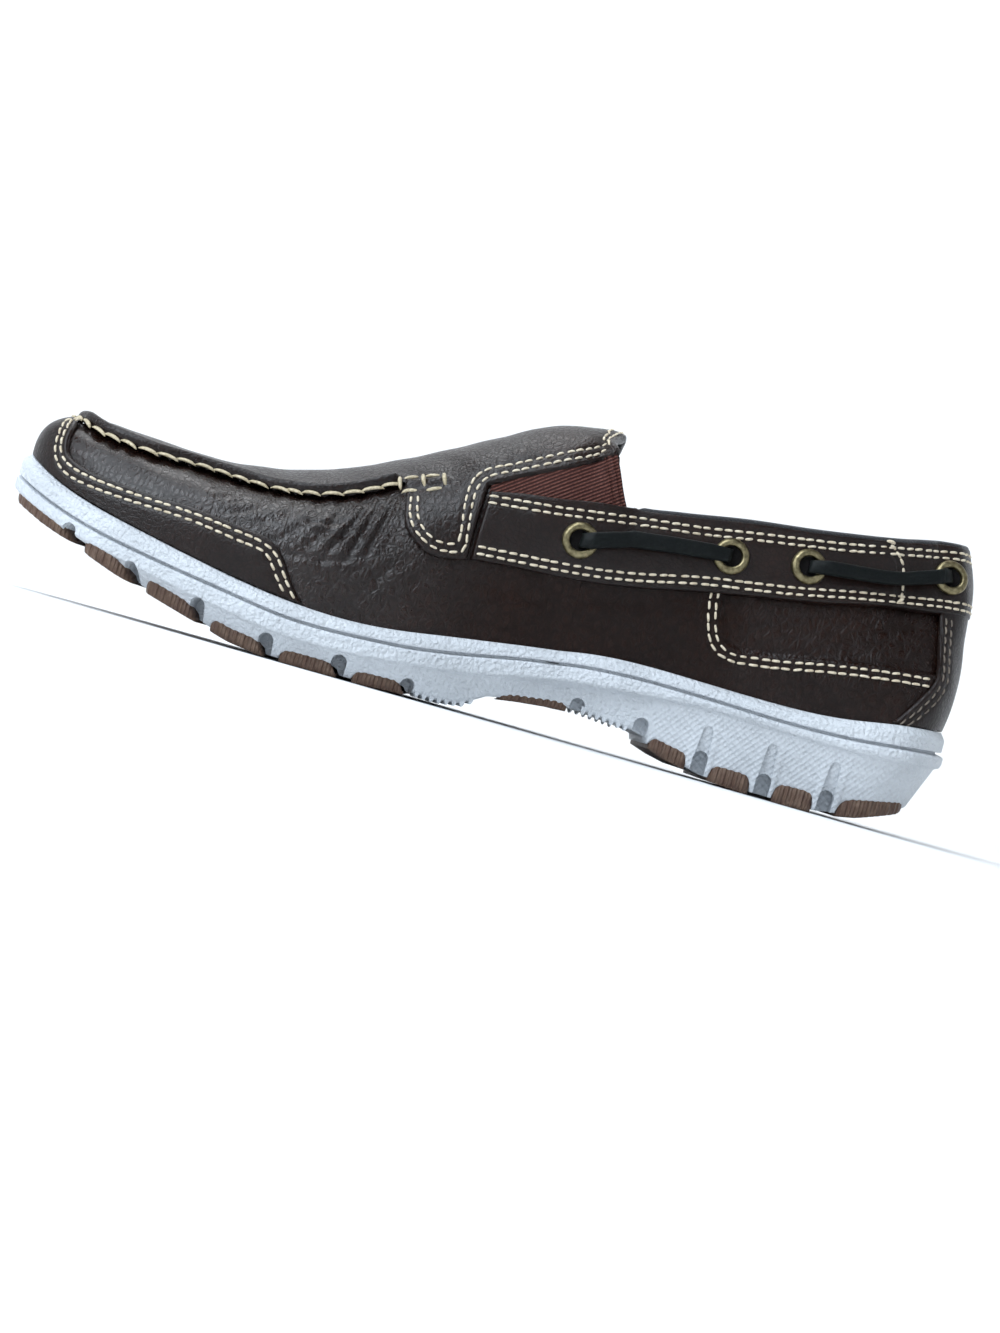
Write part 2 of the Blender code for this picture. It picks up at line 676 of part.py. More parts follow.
BACKSTAY_EDGE = line_on_skin(((1.2, 71.6), (13, 68.8), (12.2, 58), (12, 50), (13.8, 45),
                              (17, 40), (21, 35)))
BAND_FRONT = place_at(157.2, 56)
GORE_FRONT = place_at(154.5, 68)
WING_REAR = place_at(158.5, 56)
WING_MIDDLE = place_at(176.5, 47.5)
WING_FRONT = place_at(181, 56)
TONGUE_CORNER = 10.29   # rib at the tongue's corner, just past the gore's edge
GUARD_REAR = place_at(202.5, 20)
GUARD_CORNER = place_at(284, 45)
PANEL_REAR = place_at(12.8, 60)
PANEL_FRONT = place_at(80, 56)
BACKSTAY_FOOT = place_at(21, 35)
CROSS_SEAMS = (TONGUE_CORNER, WING_REAR, WING_MIDDLE, WING_FRONT, GUARD_REAR,
               GUARD_CORNER)
COLLAR_TOP = 200.0      # higher than any rib: a strip up to here ends at the collar
CLEAR = 0.6             # a piece that lies on the upper stands off it by this
RIDGE_SHARE = 0.04      # width of the plug's raised edge, as a share of the rib


def upper_places():
    """Where the upper's edges run up from heel to toe: its ribs and, in place of a
    rib close by, each seam that crosses it. All that lies on it shares them."""
    places = [q for q in stations(0, TIP)
              if all(abs(q - seam) > 0.3 for seam in CROSS_SEAMS)]
    return sorted(places + list(CROSS_SEAMS))


def places_between(first, last):
    """The upper's own places between two ends, and the two ends themselves."""
    half = upper_places()
    whole = [-q for q in reversed(half[1:])] + half + [TURN - q for q in reversed(half[:-1])]
    inside = [q for q in whole if first + 0.04 < q < last - 0.04]
    return [first] + inside + [last]


def rows_between(start, end):
    """The upper's own rows, those outside the two edges brought onto them."""
    rows = []
    for row in UPPER_ROWS:
        row = start if row < start + SNAP else row
        rows.append(end if row > end - SNAP else row)
    return rows


def strip(places, low, high, off):
    """Points standing off the skin between two heights, on the upper's own grid."""
    return [[skin_off(q, up, off)
             for up in rows_between(up_at(q, low(q)), up_at(q, high(q)))] for q in places]


def make_panel_cutter(sign):
    """What is cut from the wall for the inset panel at one rear quarter."""
    depth, shares, columns = 0.8, (0, 0.35, 0.7, 1), 7
    near, far = [], []
    for i in range(columns):
        q = sign * (PANEL_REAR + (PANEL_FRONT - PANEL_REAR) * i / (columns - 1))
        start, end = up_at(q, PANEL_LOW(q)), up_at(q, BAND_LOW(q) + 1.5)
        ups = [start + (end - start) * share for share in shares]
        near.append([skin_off(q, up, -depth) for up in ups])
        far.append([skin_off(q, up, 2.0) for up in ups])
    return slab("panel_cutter", near, far, None)


def make_mudguard():
    """Toe and side overlay: low along both sides, up to the moc seam at the toe."""
    sides = strip(places_between(GUARD_REAR, TURN - GUARD_REAR),
                  lambda q: skin(q, 0).z + 0.8, GUARD_HIGH, CLEAR)
    toe = strip(places_between(GUARD_CORNER, TURN - GUARD_CORNER),
                GUARD_HIGH, TOE_HIGH, CLEAR)
    return shell("mudguard", [sides, toe], "leather", OVERLAY)


def make_collar_band():
    """The band round the collar, from one saddle wing round the heel to the other."""
    def high(q):
        return GORE_LOW(q) if station_of(q) > THROAT else COLLAR_TOP
    grid = strip(places_between(-BAND_FRONT, BAND_FRONT), BAND_LOW, high, CLEAR)
    return shell("collar_band", [grid], "leather", OVERLAY)


def make_backstay():
    """Strip over the heel seam, flared at the sole."""
    places = places_between(-BACKSTAY_FOOT, BACKSTAY_FOOT)
    grid = strip(places, lambda q: skin(q, 0).z + 0.8, BACKSTAY_EDGE, CLEAR)
    return shell("backstay", [grid], "leather", 0.9)


def both_sides(places):
    """Places on the inner side, and the same on the outer side, both in the
    direction that runs round the shoe."""
    return places, [-q for q in reversed(places)]


def make_gores():
    """Elastic gussets between the tongue's edge and the band."""
    sides = both_sides(places_between(THROAT + 0.05, GORE_FRONT))
    for name, places in zip(("gore_inner", "gore_outer"), sides):
        grid = strip(places, lambda q: GORE_LOW(q) + GAP * 2,
                     lambda q: TONGUE_EDGE(q) - GAP * 2, CLEAR)
        shell(name, [grid], "elastic", 0.6)


def make_apron():
    """The moc-toe plug, the tongue that it runs on into, and the saddle wings,
    one piece of leather. Its edge along the moc seam is a raised ridge, and the
    tongue's tip stands a little further off the upper."""
    thin, thick = 1.3, 3.4
    grids, weights = [], []
    for places in both_sides(places_between(TONGUE_CORNER, TIP)):
        grid = []
        for q in places:
            start = up_at(q, TONGUE_EDGE(q))
            rows = rows_between(start, 1.0)
            ridged = abs(q) > WING_FRONT - 0.01
            if ridged:
                rows = [start] + [max(row, min(start + RIDGE_SHARE, 1)) for row in rows[1:]]
            off = np.interp(abs(q), (TONGUE, TONGUE + 2), (CLEAR + 0.8, CLEAR))
            grid.append([skin_off(q, up, off) for up in rows])
            for up in rows:
                ridge = np.interp(up - start, (0, RIDGE_SHARE, 0.25), (0.6, 1.0, 0.3))
                weights.append(float(ridge) if ridged else 0.3)
        grids.append(grid)
    for places in both_sides(places_between(WING_REAR, WING_FRONT)):
        grids.append(strip(places, WING_LOW, TONGUE_EDGE, CLEAR))
        weights += [0.3] * len(places) * len(UPPER_ROWS)
    return shell("apron", grids, "leather", thick, weights=weights, least=thin / thick)


# ---- Eyelets and lace --------------------------------------------------------

Eyelet = namedtuple("Eyelet", "name x z")
EYELETS = [Eyelet("front", 127.4, 59.8), Eyelet("middle", 82.0, 68.0),
           Eyelet("rear", 58.2, 71.6), Eyelet("heel", 12.9, 81.7)]
EYELET_OUTER = 5.6
EYELET_HOLE = 3.2
BARREL = 3.8
EYELET_TOP = 1.7        # top of its ring over the band
LACE_WIDTH = 4.2
LACE_THICK = 1.3


def eyelet_frame(eyelet, sign):
    """The place of an eyelet, and its matrix on the skin, +Z out of the leather."""
    q = place_at(eyelet.x, eyelet.z) * sign
    up = up_at(q, eyelet.z)
    turn = outward(q, up).to_track_quat("Z", "Y").to_matrix().to_4x4()
    return q, Matrix.Translation(to_world(skin(q, up))) @ turn


def turned(name, profile, finish, steps=12):
    """A closed profile (radius, height) turned about Z with Screw."""
    mesh = bpy.data.meshes.new(name)
    points = [(radius * MM, 0, height * MM) for radius, height in profile]
    count = len(points)
    mesh.from_pydata(points, [(i, (i + 1) % count) for i in range(count)], [])
    item = add_object(name, mesh, finish)
    turn = item.modifiers.new("turn", "SCREW")
    turn.steps = turn.render_steps = steps
    turn.use_merge_vertices = True
    turn.merge_threshold = 0.00001
    return item


def make_eyelets(band):
    """Brass rings: a rounded flange on the band and a barrel through it."""
    top = CLEAR + OVERLAY
    profile = [(BARREL, top + 0.7), (BARREL, CLEAR + 0.4), (EYELET_HOLE, CLEAR + 0.4),
               (EYELET_HOLE, top + 1.3), (EYELET_HOLE + 1.2, top + EYELET_TOP),
               (EYELET_OUTER, top + 0.8)]
    frame = bmesh.new()
    for side_name, sign in (("inner", INNER), ("outer", OUTER)):
        for eyelet in EYELETS:
            matrix = eyelet_frame(eyelet, sign)[1]
            ring = turned(f"eyelet_{side_name}_{eyelet.name}", profile, "brass")
            ring.matrix_world = matrix
            bmesh.ops.create_cone(frame, cap_ends=True, segments=12, radius1=(BARREL + 0.5) * MM,
                                  radius2=(BARREL + 0.5) * MM, depth=8 * MM, matrix=matrix)
    cut(band, finish_cutter("eyelet_cutter", frame))


def make_laces():
    """Flat lace bars along the band, each from one eyelet's mouth to the next."""
    low = CLEAR + OVERLAY + EYELET_TOP + GAP * 2
    columns = 9
    for side_name, sign in (("inner", INNER), ("outer", OUTER)):
        for number, (start, end) in enumerate(((0, 1), (2, 3)), 1):
            first, last = (eyelet_frame(EYELETS[i], sign)[0] for i in (start, end))
            under, over = [], []
            for i in range(columns):
                share = i / (columns - 1)
                q = first + (last - first) * share
                z = EYELETS[start].z + (EYELETS[end].z - EYELETS[start].z) * share
                edges = [up_at(q, z + side) for side in (-LACE_WIDTH / 2, LACE_WIDTH / 2)]
                under.append([skin_off(q, up, low) for up in edges])
                over.append([skin_off(q, up, low + LACE_THICK) for up in edges])
            slab(f"lace_{side_name}_{number}", under, over, "lace_leather")


def build():
    for item in list(bpy.data.objects):
        bpy.data.objects.remove(item)
    scene = bpy.context.scene
    for group in (parts, cutters):
        scene.collection.children.link(group)
    make_sole()
    make_pads()
    make_upper()
    make_insole()
    make_mudguard()
    band = make_collar_band()
    make_backstay()
    make_gores()
    make_apron()
    make_eyelets(band)
    make_laces()


build()
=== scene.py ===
"""Looks of a right moc-toe slip-on shoe: dark brown pebbled leather, cream seams, a
flat lace through brass eyelets, and a white foam sole with brown tread pads.

Lengths are millimetres in the shoemaker's own frame until a mesh is made: x from
the back of the heel towards the toe, y from the heel-to-toe axis towards the inner
side, z from the ground."""

import math

import bmesh
import bpy
import numpy as np
from mathutils import Matrix, Vector
from mathutils.kdtree import KDTree


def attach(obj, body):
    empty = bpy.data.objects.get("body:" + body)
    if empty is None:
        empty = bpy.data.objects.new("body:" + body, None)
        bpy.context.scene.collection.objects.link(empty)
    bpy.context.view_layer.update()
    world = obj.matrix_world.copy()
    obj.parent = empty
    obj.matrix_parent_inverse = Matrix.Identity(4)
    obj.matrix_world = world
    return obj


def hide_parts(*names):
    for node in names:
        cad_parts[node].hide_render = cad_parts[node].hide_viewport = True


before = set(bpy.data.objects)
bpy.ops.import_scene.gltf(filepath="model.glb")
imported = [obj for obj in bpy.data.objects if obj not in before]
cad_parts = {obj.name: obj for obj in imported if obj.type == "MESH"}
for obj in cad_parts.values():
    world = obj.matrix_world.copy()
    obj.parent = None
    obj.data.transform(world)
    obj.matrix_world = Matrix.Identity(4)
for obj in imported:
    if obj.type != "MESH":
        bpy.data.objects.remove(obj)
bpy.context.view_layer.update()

# ---- The last -----------------------------------------------------------------
# The wooden form the shoe is pulled over. Each row is an upright rib: its foot on
# the featherline, the point in plan that it leans to, then four points on it, each
# as distance in from the foot and height. Ribs without top_in end on the middle line.
RIBS = [dict(zip(("x z inner outer aim mid low_in low_z high_in high_z "
                  "brow_in brow_z top_in top_z").split(), row)) for row in (
    (1.2, 35.3, 1.5, 1.5, 32, 1.5, -1.3, 50, 0.0, 64, 1.2, 80, 6.0, 94.3),
    (3.4, 35.0, 16.5, -13.5, 32, 1.5, -1.2, 49, 1.0, 64, 4.2, 80, 9.0, 93.0),
    (9.2, 34.2, 27.0, -24.0, 32, 1.5, -0.7, 47, 4.5, 63, 11.5, 78, 16.0, 91.6),
    (20, 32.8, 33.8, -31.0, 33, 1.5, 0.2, 45, 6.5, 60, 13.6, 75, 16.6, 89.8),
    (35, 30.2, 34.0, -32.2, 38, 1.2, -0.2, 44, 5.2, 60, 9.8, 73, 12.0, 87.3),
    (57, 28.9, 30.7, -32.2, 57, 1.2, -1.2, 44, 1.0, 60, 3.6, 72, 5.4, 83.4),
    (81, 29.2, 27.8, -32.7, 81, 1.6, -2.2, 43, -2.6, 57, -1.8, 69, -0.8, 79.7),
    (100, 29.2, 27.5, -34.5, 100, 2.0, -2.4, 42, -3.4, 55, -3.0, 66, -1.8, 76.2),
    (113, 28.3, 27.2, -36.0, 115, 2.2, -2.8, 42, -4.3, 55, -3.6, 65, -1.4, 74.4),
    (119, 27.4, 27.0, -37.0, 120.5, 2.1, -3.2, 42, -5.2, 55, -4.0, 68, -0.2, 82.5),
    (123.4, 26.6, 26.9, -37.9, 121.4, 2.0, -3.5, 42, -5.8, 55, -3.6, 72, 3.2, 90.5),
    (130.5, 25.6, 27.4, -39.3, 118.6, 1.8, -3.5, 41, -6.0, 54, -1.4, 78, 14.6, 95.1),
    (137, 24.6, 28.7, -40.6, 122.4, 1.5, -3.3, 40, -5.6, 53, 2.2, 82, None, 98.1),
    (148, 22.8, 31.2, -43.5, 140, 1.2, -2.0, 38, -3.4, 53, 5.0, 79, None, 95.2),
    (160, 20.8, 34.5, -47.0, 158, 0.8, -0.8, 35, -0.8, 50, 7.2, 73, None, 86.2),
    (172, 18.8, 37.5, -50.2, 172, 0.4, -0.3, 33, 2.4, 50, 10.4, 65, None, 78.8),
    (187, 17.5, 39.2, -53.0, 188, -0.4, 0.0, 31, 4.0, 45, 11.3, 56, None, 70.4),
    (203, 17.9, 40.6, -55.0, 204, -1.3, 0.1, 31, 4.6, 43, 14.6, 52, None, 63.2),
    (227, 21.0, 39.8, -53.2, 226, -1.6, 0.2, 32.5, 4.8, 42.5, 16.0, 48.6, None, 56.9),
    (249, 25.2, 37.4, -46.5, 244, -0.3, 0.5, 34.5, 4.6, 43.5, 13.2, 49.0, None, 54.7),
    (268, 29.3, 32.6, -36.5, 258, 2.0, 0.7, 37.5, 4.0, 45.5, 10.6, 50.6, None, 54.8),
    (283.5, 34.2, 26.4, -24.0, 268, 4.0, 0.6, 42, 3.0, 48.5, 9.4, 52.6, None, 55.2),
    (293.6, 39.3, 18.6, -10.0, 274, 5.0, 0.3, 45, 2.4, 50.3, 8.6, 54.2, None, 55.5),
    (297.4, 41.6, 5.5, 5.5, 279, 5.5, 0.1, 45.5, 2.4, 51, 8.2, 54.8, None, 55.6))]
TIP = 23                # rib at the toe; numbers past it run back along the outer side
TURN = 2 * TIP          # once round the shoe
TONGUE = 12             # rib at the middle of the tongue's tip
LEAN = {"low_in": 0.2, "high_in": 0.55, "brow_in": 1.0, "top_in": 1.0}
PER_RIB, ROWS = 32, 256  # how fine the table of the skin is, along and up


def spline(knots, values, last=None, gentle=False):
    """Cubic through the values; the far end may be given its slope. A gentle one
    never swings past the values."""
    knots, values = np.asarray(knots, float), np.asarray(values, float)
    count, width = len(knots), np.diff(knots)
    rise = np.diff(values) / width
    system, right = np.zeros((count, count)), np.zeros(count)
    system[0, :2], right[0] = (2, 1), 3 * rise[0]
    system[-1, -2:] = (0, 1) if last is not None else (1, 2)
    right[-1] = last if last is not None else 3 * rise[-1]
    for i in range(1, count - 1):
        system[i, i - 1:i + 2] = (width[i], 2 * (width[i - 1] + width[i]), width[i - 1])
        right[i] = 3 * (width[i] * rise[i - 1] + width[i - 1] * rise[i])
    slope = np.linalg.solve(system, right)
    if gentle:
        before, after = rise[:-1], rise[1:]
        slope[1:-1] = np.where(before * after > 0, 2 * before * after
                               / np.where(before + after == 0, 1, before + after), 0)

    def value(at):
        i = np.clip(np.searchsorted(knots, at) - 1, 0, count - 2)
        h = width[i]
        t = (at - knots[i]) / h
        return ((1 + 2 * t) * (1 - t) ** 2 * values[i] + t * (1 - t) ** 2 * h * slope[i]
                + t * t * (3 - 2 * t) * values[i + 1] + t * t * (t - 1) * h * slope[i + 1])
    return value


def pull_skin():
    """The table of the skin: a column for each place round the featherline."""
    loop = [(min(q % TURN, TURN - q % TURN), q % TURN > TIP) for q in range(-3, TURN + 4)]

    def foot(i, outer):
        return RIBS[i]["outer" if outer else "inner"]

    def value(i, outer, name):
        rib = RIBS[i]
        if name == "y":
            return foot(i, outer)
        if name == "top_in" and rib[name] is None:
            return math.hypot(rib["aim"] - rib["x"], rib["mid"] - foot(i, outer))
        lean = LEAN.get(name, 0) if outer else 0
        return rib[name] + lean * ((rib["mid"] - rib["outer"]) - (rib["inner"] - rib["mid"]))

    feet = np.array([(RIBS[i]["x"], foot(i, outer)) for i, outer in loop])
    around = np.concatenate([[0], np.cumsum(np.hypot(*np.diff(feet, axis=0).T))])
    names = [name for name in RIBS[0] if name not in ("inner", "outer")] + ["y"]
    edges = ("aim", "mid", "brow_in", "brow_z", "top_in", "top_z")
    curves = {name: spline(around, [value(i, outer, name) for i, outer in loop],
                           gentle=name in edges) for name in names}
    table = np.zeros((TURN * PER_RIB + 1, ROWS + 1, 3))
    lengths = np.zeros(len(table))
    for k in range(len(table)):
        q = k / PER_RIB
        station = min(q, TURN - q)
        closed = station >= TONGUE
        at = np.interp(q + 3, range(len(around)), around)
        mirror = np.interp(station + 3, range(len(around)), around)
        read = {name: float(curves[name](
            mirror if closed and name in ("aim", "mid", "top_z") else at)) for name in names}
        start = np.array((read["x"], read["y"]))
        reach = np.array((read["aim"], read["mid"])) - start
        points = [(0.0, read["z"])] + [(read[n + "_in"], read[n + "_z"])
                                       for n in ("low", "high", "brow", "top")]
        if closed:
            points[-1] = (np.hypot(*reach), points[-1][1])
        points = np.array(points)
        run = np.concatenate([[0], np.cumsum(np.hypot(*np.diff(points, axis=0).T))])
        along = np.linspace(0, run[-1], ROWS + 1)
        inset = spline(run, points[:, 0])(along)
        table[k, :, :2] = start + np.outer(inset, reach / np.hypot(*reach))
        free = spline(run, points[:, 1])       # level on the middle line, free on an edge
        slope = (free(run[-1]) - free(run[-1] - 0.01)) / 0.01 * np.clip(TONGUE - station, 0, 1)
        table[k, :, 2] = spline(run, points[:, 1], last=slope)(along)
        lengths[k] = run[-1]
    return table, lengths


SKIN, RIB_LENGTH = pull_skin()


def skin_normals():
    """Unit normals out of the shoe for every point of the table."""
    wrapped = np.concatenate([SKIN[-3:-1], SKIN, SKIN[1:3]])
    ahead = (wrapped[3:-1] - wrapped[1:-3])
    for corner in (TONGUE * PER_RIB, (TURN - TONGUE) * PER_RIB):
        ahead[corner - 1:corner + 2] = ahead[corner + (3 if corner < len(SKIN) / 2 else -3)]
    rise = np.gradient(SKIN, axis=1)
    normal = np.cross(rise, ahead)
    size = np.linalg.norm(normal, axis=2, keepdims=True)
    normal /= np.maximum(size, 1e-9)
    tip = TIP * PER_RIB
    for k in range(tip - 6, tip + 7):       # the ribs of the toe meet: read short of the end
        normal[k, -12:] = normal[k, -13]
    ease = np.linspace(0, 1, 20)[:, None]
    for k in range(TONGUE * PER_RIB, tip + 1):   # both sides agree on the middle line
        shared = normal[k, -1] + normal[-1 - k, -1]
        shared /= np.linalg.norm(shared)
        for side in {k, len(SKIN) - 1 - k}:
            normal[side, -20:] = normal[side, -20:] * (1 - ease) + shared * ease
    return normal


NORMAL = skin_normals()


def look_up(table, q, up):
    """Reads a table of the skin at places q and shares up, evenly between its points."""
    q = np.asarray(q, float) % TURN * PER_RIB
    up = np.clip(up, 0, 1) * ROWS
    i = np.minimum(q.astype(int), TURN * PER_RIB - 1)
    j = np.minimum(up.astype(int), ROWS - 1)
    a, b = (q - i)[..., None], (up - j)[..., None]
    return ((table[i, j] * (1 - a) + table[i + 1, j] * a) * (1 - b)
            + (table[i, j + 1] * (1 - a) + table[i + 1, j + 1] * a) * b)


def station(q):
    """The rib a place lies at, counted from the heel on either side."""
    q = np.asarray(q, float) % TURN
    return np.minimum(q, TURN - q)


def rib_length(q):
    """Length of the ribs at places q."""
    return np.interp(np.asarray(q) % TURN * PER_RIB, range(len(RIB_LENGTH)), RIB_LENGTH)


def on_skin(q, up, off=0.0):
    """Points at places q, at shares up of their ribs, standing off the skin."""
    q, up = np.broadcast_arrays(np.asarray(q, float), np.asarray(up, float))
    normal = look_up(NORMAL, q, up)
    normal /= np.linalg.norm(normal, axis=-1, keepdims=True)
    point = look_up(SKIN, q, up) + normal * np.asarray(off, float)[..., None]
    point[..., 2] += np.minimum(up, 0.0) * rib_length(q)
    return point


def up_at(q, z):
    """How far up its rib the skin reaches a height."""
    q, z = np.broadcast_arrays(np.asarray(q, float), np.asarray(z, float))
    place = (q % TURN * PER_RIB).ravel()
    i = np.minimum(place.astype(int), TURN * PER_RIB - 1)
    a = (place - i)[:, None]
    heights = SKIN[i, :, 2] * (1 - a) + SKIN[i + 1, :, 2] * a
    heights = np.maximum.accumulate(heights, axis=1)
    j = np.clip((heights < z.ravel()[:, None]).sum(axis=1), 1, ROWS)
    n = np.arange(len(j))
    low, high = heights[n, j - 1], heights[n, j]
    share = np.clip((z.ravel() - low) / np.maximum(high - low, 1e-6), 0, 1)
    return ((j - 1 + share) / ROWS).reshape(q.shape)


def place_at(x, z):
    """The place on the inner side whose rib passes x at a height."""
    half = SKIN[:TIP * PER_RIB + 1]
    j = np.clip((half[:, :, 2] < z).sum(axis=1), 1, ROWS)
    n = np.arange(len(j))
    low, high = half[n, j - 1], half[n, j]
    share = np.clip((z - low[:, 2]) / np.maximum(high[:, 2] - low[:, 2], 1e-6), 0, 1)
    across = low[:, 0] + (high[:, 0] - low[:, 0]) * share
    return float(np.interp(x, np.maximum.accumulate(across), n / PER_RIB))


# ---- Vamp and quarters ----------------------------------------------------------
# The upper's main leather: pebbled full-grain cowhide pulled over the last, in one
# skin from the collar round the toes. It has creased where the foot bends, and the
# pocket panel at each rear quarter lies lower than the folded edge around it.
MM = 0.001
ORIGIN = np.array((149.4, -7.1, 0.0))   # the frame's origin in the shoemaker's frame
INNER, OUTER = 1, -1     # places on the outer side are the inner side's times -1
COLLAR_FRONT = 8.0       # rib where the collar's roll ends and the elastic begins
SEAM_STEP = 0.5          # from one point of a seam to the next


class Line:
    """A seam or an edge, drawn through (x, z) points of the inner side. The outer
    side carries the same pattern."""

    def __init__(self, rows, step=SEAM_STEP, smooth=True, tail=()):
        rows = np.array(rows, float)
        run = np.concatenate([[0], np.cumsum(np.hypot(*np.diff(rows, axis=0).T))])
        at = np.linspace(0, run[-1], max(2, int(run[-1] / step)))
        if smooth and len(rows) > 2:
            self.x, self.z = spline(run, rows[:, 0])(at), spline(run, rows[:, 1])(at)
        else:
            self.x, self.z = np.interp(at, run, rows[:, 0]), np.interp(at, run, rows[:, 1])
        self.q = np.array([place_at(x, z) for x, z in zip(self.x, self.z)])
        if tail:                              # (place, share up the rib) at the toe's end
            ends = np.array([(self.q[-1], up_at(self.q[-1], self.z[-1]))] + list(tail))
            q = np.linspace(ends[0, 0], ends[-1, 0], 40)[1:]
            ahead = look_up(SKIN, q, spline(ends[:, 0], ends[:, 1], last=0.0)(q))
            self.q, self.z = np.append(self.q, q), np.append(self.z, ahead[:, 2])
            self.x = np.append(self.x, ahead[:, 0])

    def height(self, q):
        """Its height on the ribs at places q."""
        order = np.argsort(self.q, kind="stable")
        return np.interp(station(q), self.q[order], self.z[order])

    def points(self, side, off=0.0):
        """Its points on one side of the shoe, standing off the skin."""
        q = self.q * side
        return on_skin(q, up_at(q, self.z), off)


TONGUE_EDGE = Line(((122.8, 88.8), (128, 85.3), (136, 80.4), (144.4, 75.9), (152, 71.8),
                    (158.5, 68.2), (165, 67), (171, 66), (182, 63), (190, 58.7),
                    (201.4, 53.3), (212.8, 50.4), (229, 49.5), (245.4, 50), (261, 49.9),
                    (270, 50.7), (279, 52.3), (282.7, 53.6), (284.6, 54.3)),
                   tail=((22.3, 0.603), (22.65, 0.614), (23, 0.617)))
GORE_REAR = Line(((115.2, 71.5), (116.6, 74), (118.9, 78.9), (120.6, 83.4), (122.6, 88.5),
                  (123.4, 90.6)))
TONGUE_CORNER = float(TONGUE_EDGE.q[0])   # there its lower edge meets the collar
PANEL_EDGE = Line(((81.2, 58.2), (80.6, 53), (79.3, 48.2), (77.2, 43.9), (73, 41.6),
                   (68, 41.9), (62.5, 42.6), (50, 45), (39, 47.1), (26, 49), (12, 50.8)))
UNDERLAP = 1.8           # how far the vamp runs on under the plug's edge
GORE_CUT = 71.5          # down to this height it is cut away under the elastic
POCKET_DROP = 0.9        # how much lower the pocket panel lies
GATHER = 6.4             # from one gather of the moc seam to the next
GATHERS_FROM = 186       # x where they begin
GATHERS_RIB = 15.9       # rib where the leather beside them begins to swell
VAMP_GRID = (760, 83)    # points round the shoe and up it

# creases: points as (x, z), depth, half width
CREASES = [
    (((184.5, 58), (185.2, 51), (186.5, 44), (188, 37)), 1.09, 1.0),
    (((186.6, 57.4), (187.3, 52), (188.2, 46)), 0.58, 0.7),
    (((188.5, 56), (189.6, 48), (191.5, 40), (193.5, 33)), 0.87, 1.0),
    (((190.6, 55), (192, 49.5), (194.2, 43.4)), 0.58, 0.7),
    (((192.5, 54), (194, 47), (197, 39), (200, 31)), 0.94, 1.0),
    (((195.2, 53), (196.8, 47.5), (199.8, 41.4), (202, 37)), 0.65, 0.8),
    (((198, 51.5), (200, 45), (204, 37), (208.5, 29)), 0.72, 1.0),
    (((201, 51), (203.4, 46), (207, 40.4)), 0.51, 0.7),
    (((204, 50), (206.5, 44), (211, 38), (216, 33)), 0.72, 0.9),
    (((207.6, 49.8), (210, 45.4), (214, 41)), 0.51, 0.7),
    (((211, 48.8), (213.5, 44.5), (218, 40), (224, 36)), 0.58, 0.9),
    (((215, 48.8), (217.4, 45.2), (221.4, 41.4)), 0.43, 0.7),
    (((219, 48), (221.5, 44.5), (226, 41), (232, 38.5)), 0.51, 0.9),
    (((223.5, 48.6), (226, 45.6), (230, 42.6)), 0.43, 0.7),
    (((228, 48), (230.5, 45), (235, 42.5)), 0.43, 0.8),
    (((232.4, 49), (234.8, 46.4), (238.4, 44)), 0.36, 0.7),
    (((186, 48), (192, 43.5), (199, 41), (207, 39.5)), 0.51, 0.9),
    (((196, 46.4), (203, 43.4), (210, 42.6)), 0.36, 0.7),
    (((188, 38), (195, 34), (203, 32.2), (212, 31.5)), 0.43, 1.0),
    (((176, 40), (181, 34), (185, 27), (188, 22)), 0.4, 1.6),
    (((166, 41), (170, 35), (173, 28)), 0.3, 1.6),
    (((120, 44), (132, 41), (146, 39.5), (158, 40)), 0.3, 2.4),
    (((96, 50), (110, 46), (124, 43.5)), 0.3, 2.2)]


def crease_relief(points):
    """Soft troughs with a low ridge on both sides, fading out at their ends."""
    relief = np.zeros(len(points))
    for rows, depth, half in CREASES:
        line = Line(rows, step=0.8)
        for side in (INNER, OUTER):
            path = line.points(side)
            near = np.all((points > path.min(0) - 5 * half) & (points < path.max(0) + 5 * half),
                          axis=1)
            gap = np.linalg.norm(points[near, None] - path[None], axis=2)
            nearest = gap.argmin(axis=1)
            d = gap[np.arange(len(gap)), nearest] / half
            fade = np.sin(np.pi * np.clip((nearest + 1) / (len(path) + 1), 0, 1)) ** 0.6
            relief[near] += depth * fade * (0.55 * np.exp(-((d - 2.0) / 0.9) ** 2)
                                            - np.exp(-d ** 2))
    return relief


def distance_to(points, outline):
    """How far each point is from the nearest of a row of points, and which one it is."""
    tree = KDTree(len(outline))
    for i, point in enumerate(outline):
        tree.insert(point, i)
    tree.balance()
    found = [tree.find(point)[1:] for point in points]
    return np.array([f[1] for f in found]), np.array([f[0] for f in found])


def shader(name, colour, roughness, metallic=0.0, **sockets):
    """A new material, with its nodes, links and Principled shader."""
    material = bpy.data.materials.new(name)
    material.use_nodes = True
    tree = material.node_tree
    principled = tree.nodes["Principled BSDF"]
    principled.inputs["Base Color"].default_value = (*colour, 1)
    principled.inputs["Roughness"].default_value = roughness
    principled.inputs["Metallic"].default_value = metallic
    for socket, value in sockets.items():
        principled.inputs[socket.replace("_", " ")].default_value = value
    return material, tree.nodes, tree.links, principled


def texture(nodes, links, kind, scale, vector=None, **values):
    """A procedural texture in the piece's own metres; scale is per metre."""
    node = nodes.new(kind)
    if vector is None:
        vector = nodes.new("ShaderNodeTexCoord").outputs["Object"]
    links.new(vector, node.inputs["Vector"])
    node.inputs["Scale"].default_value = scale
    for name, value in values.items():
        if hasattr(node, name):
            setattr(node, name, value)
        else:
            node.inputs[name.replace("_", " ")].default_value = value
    return node


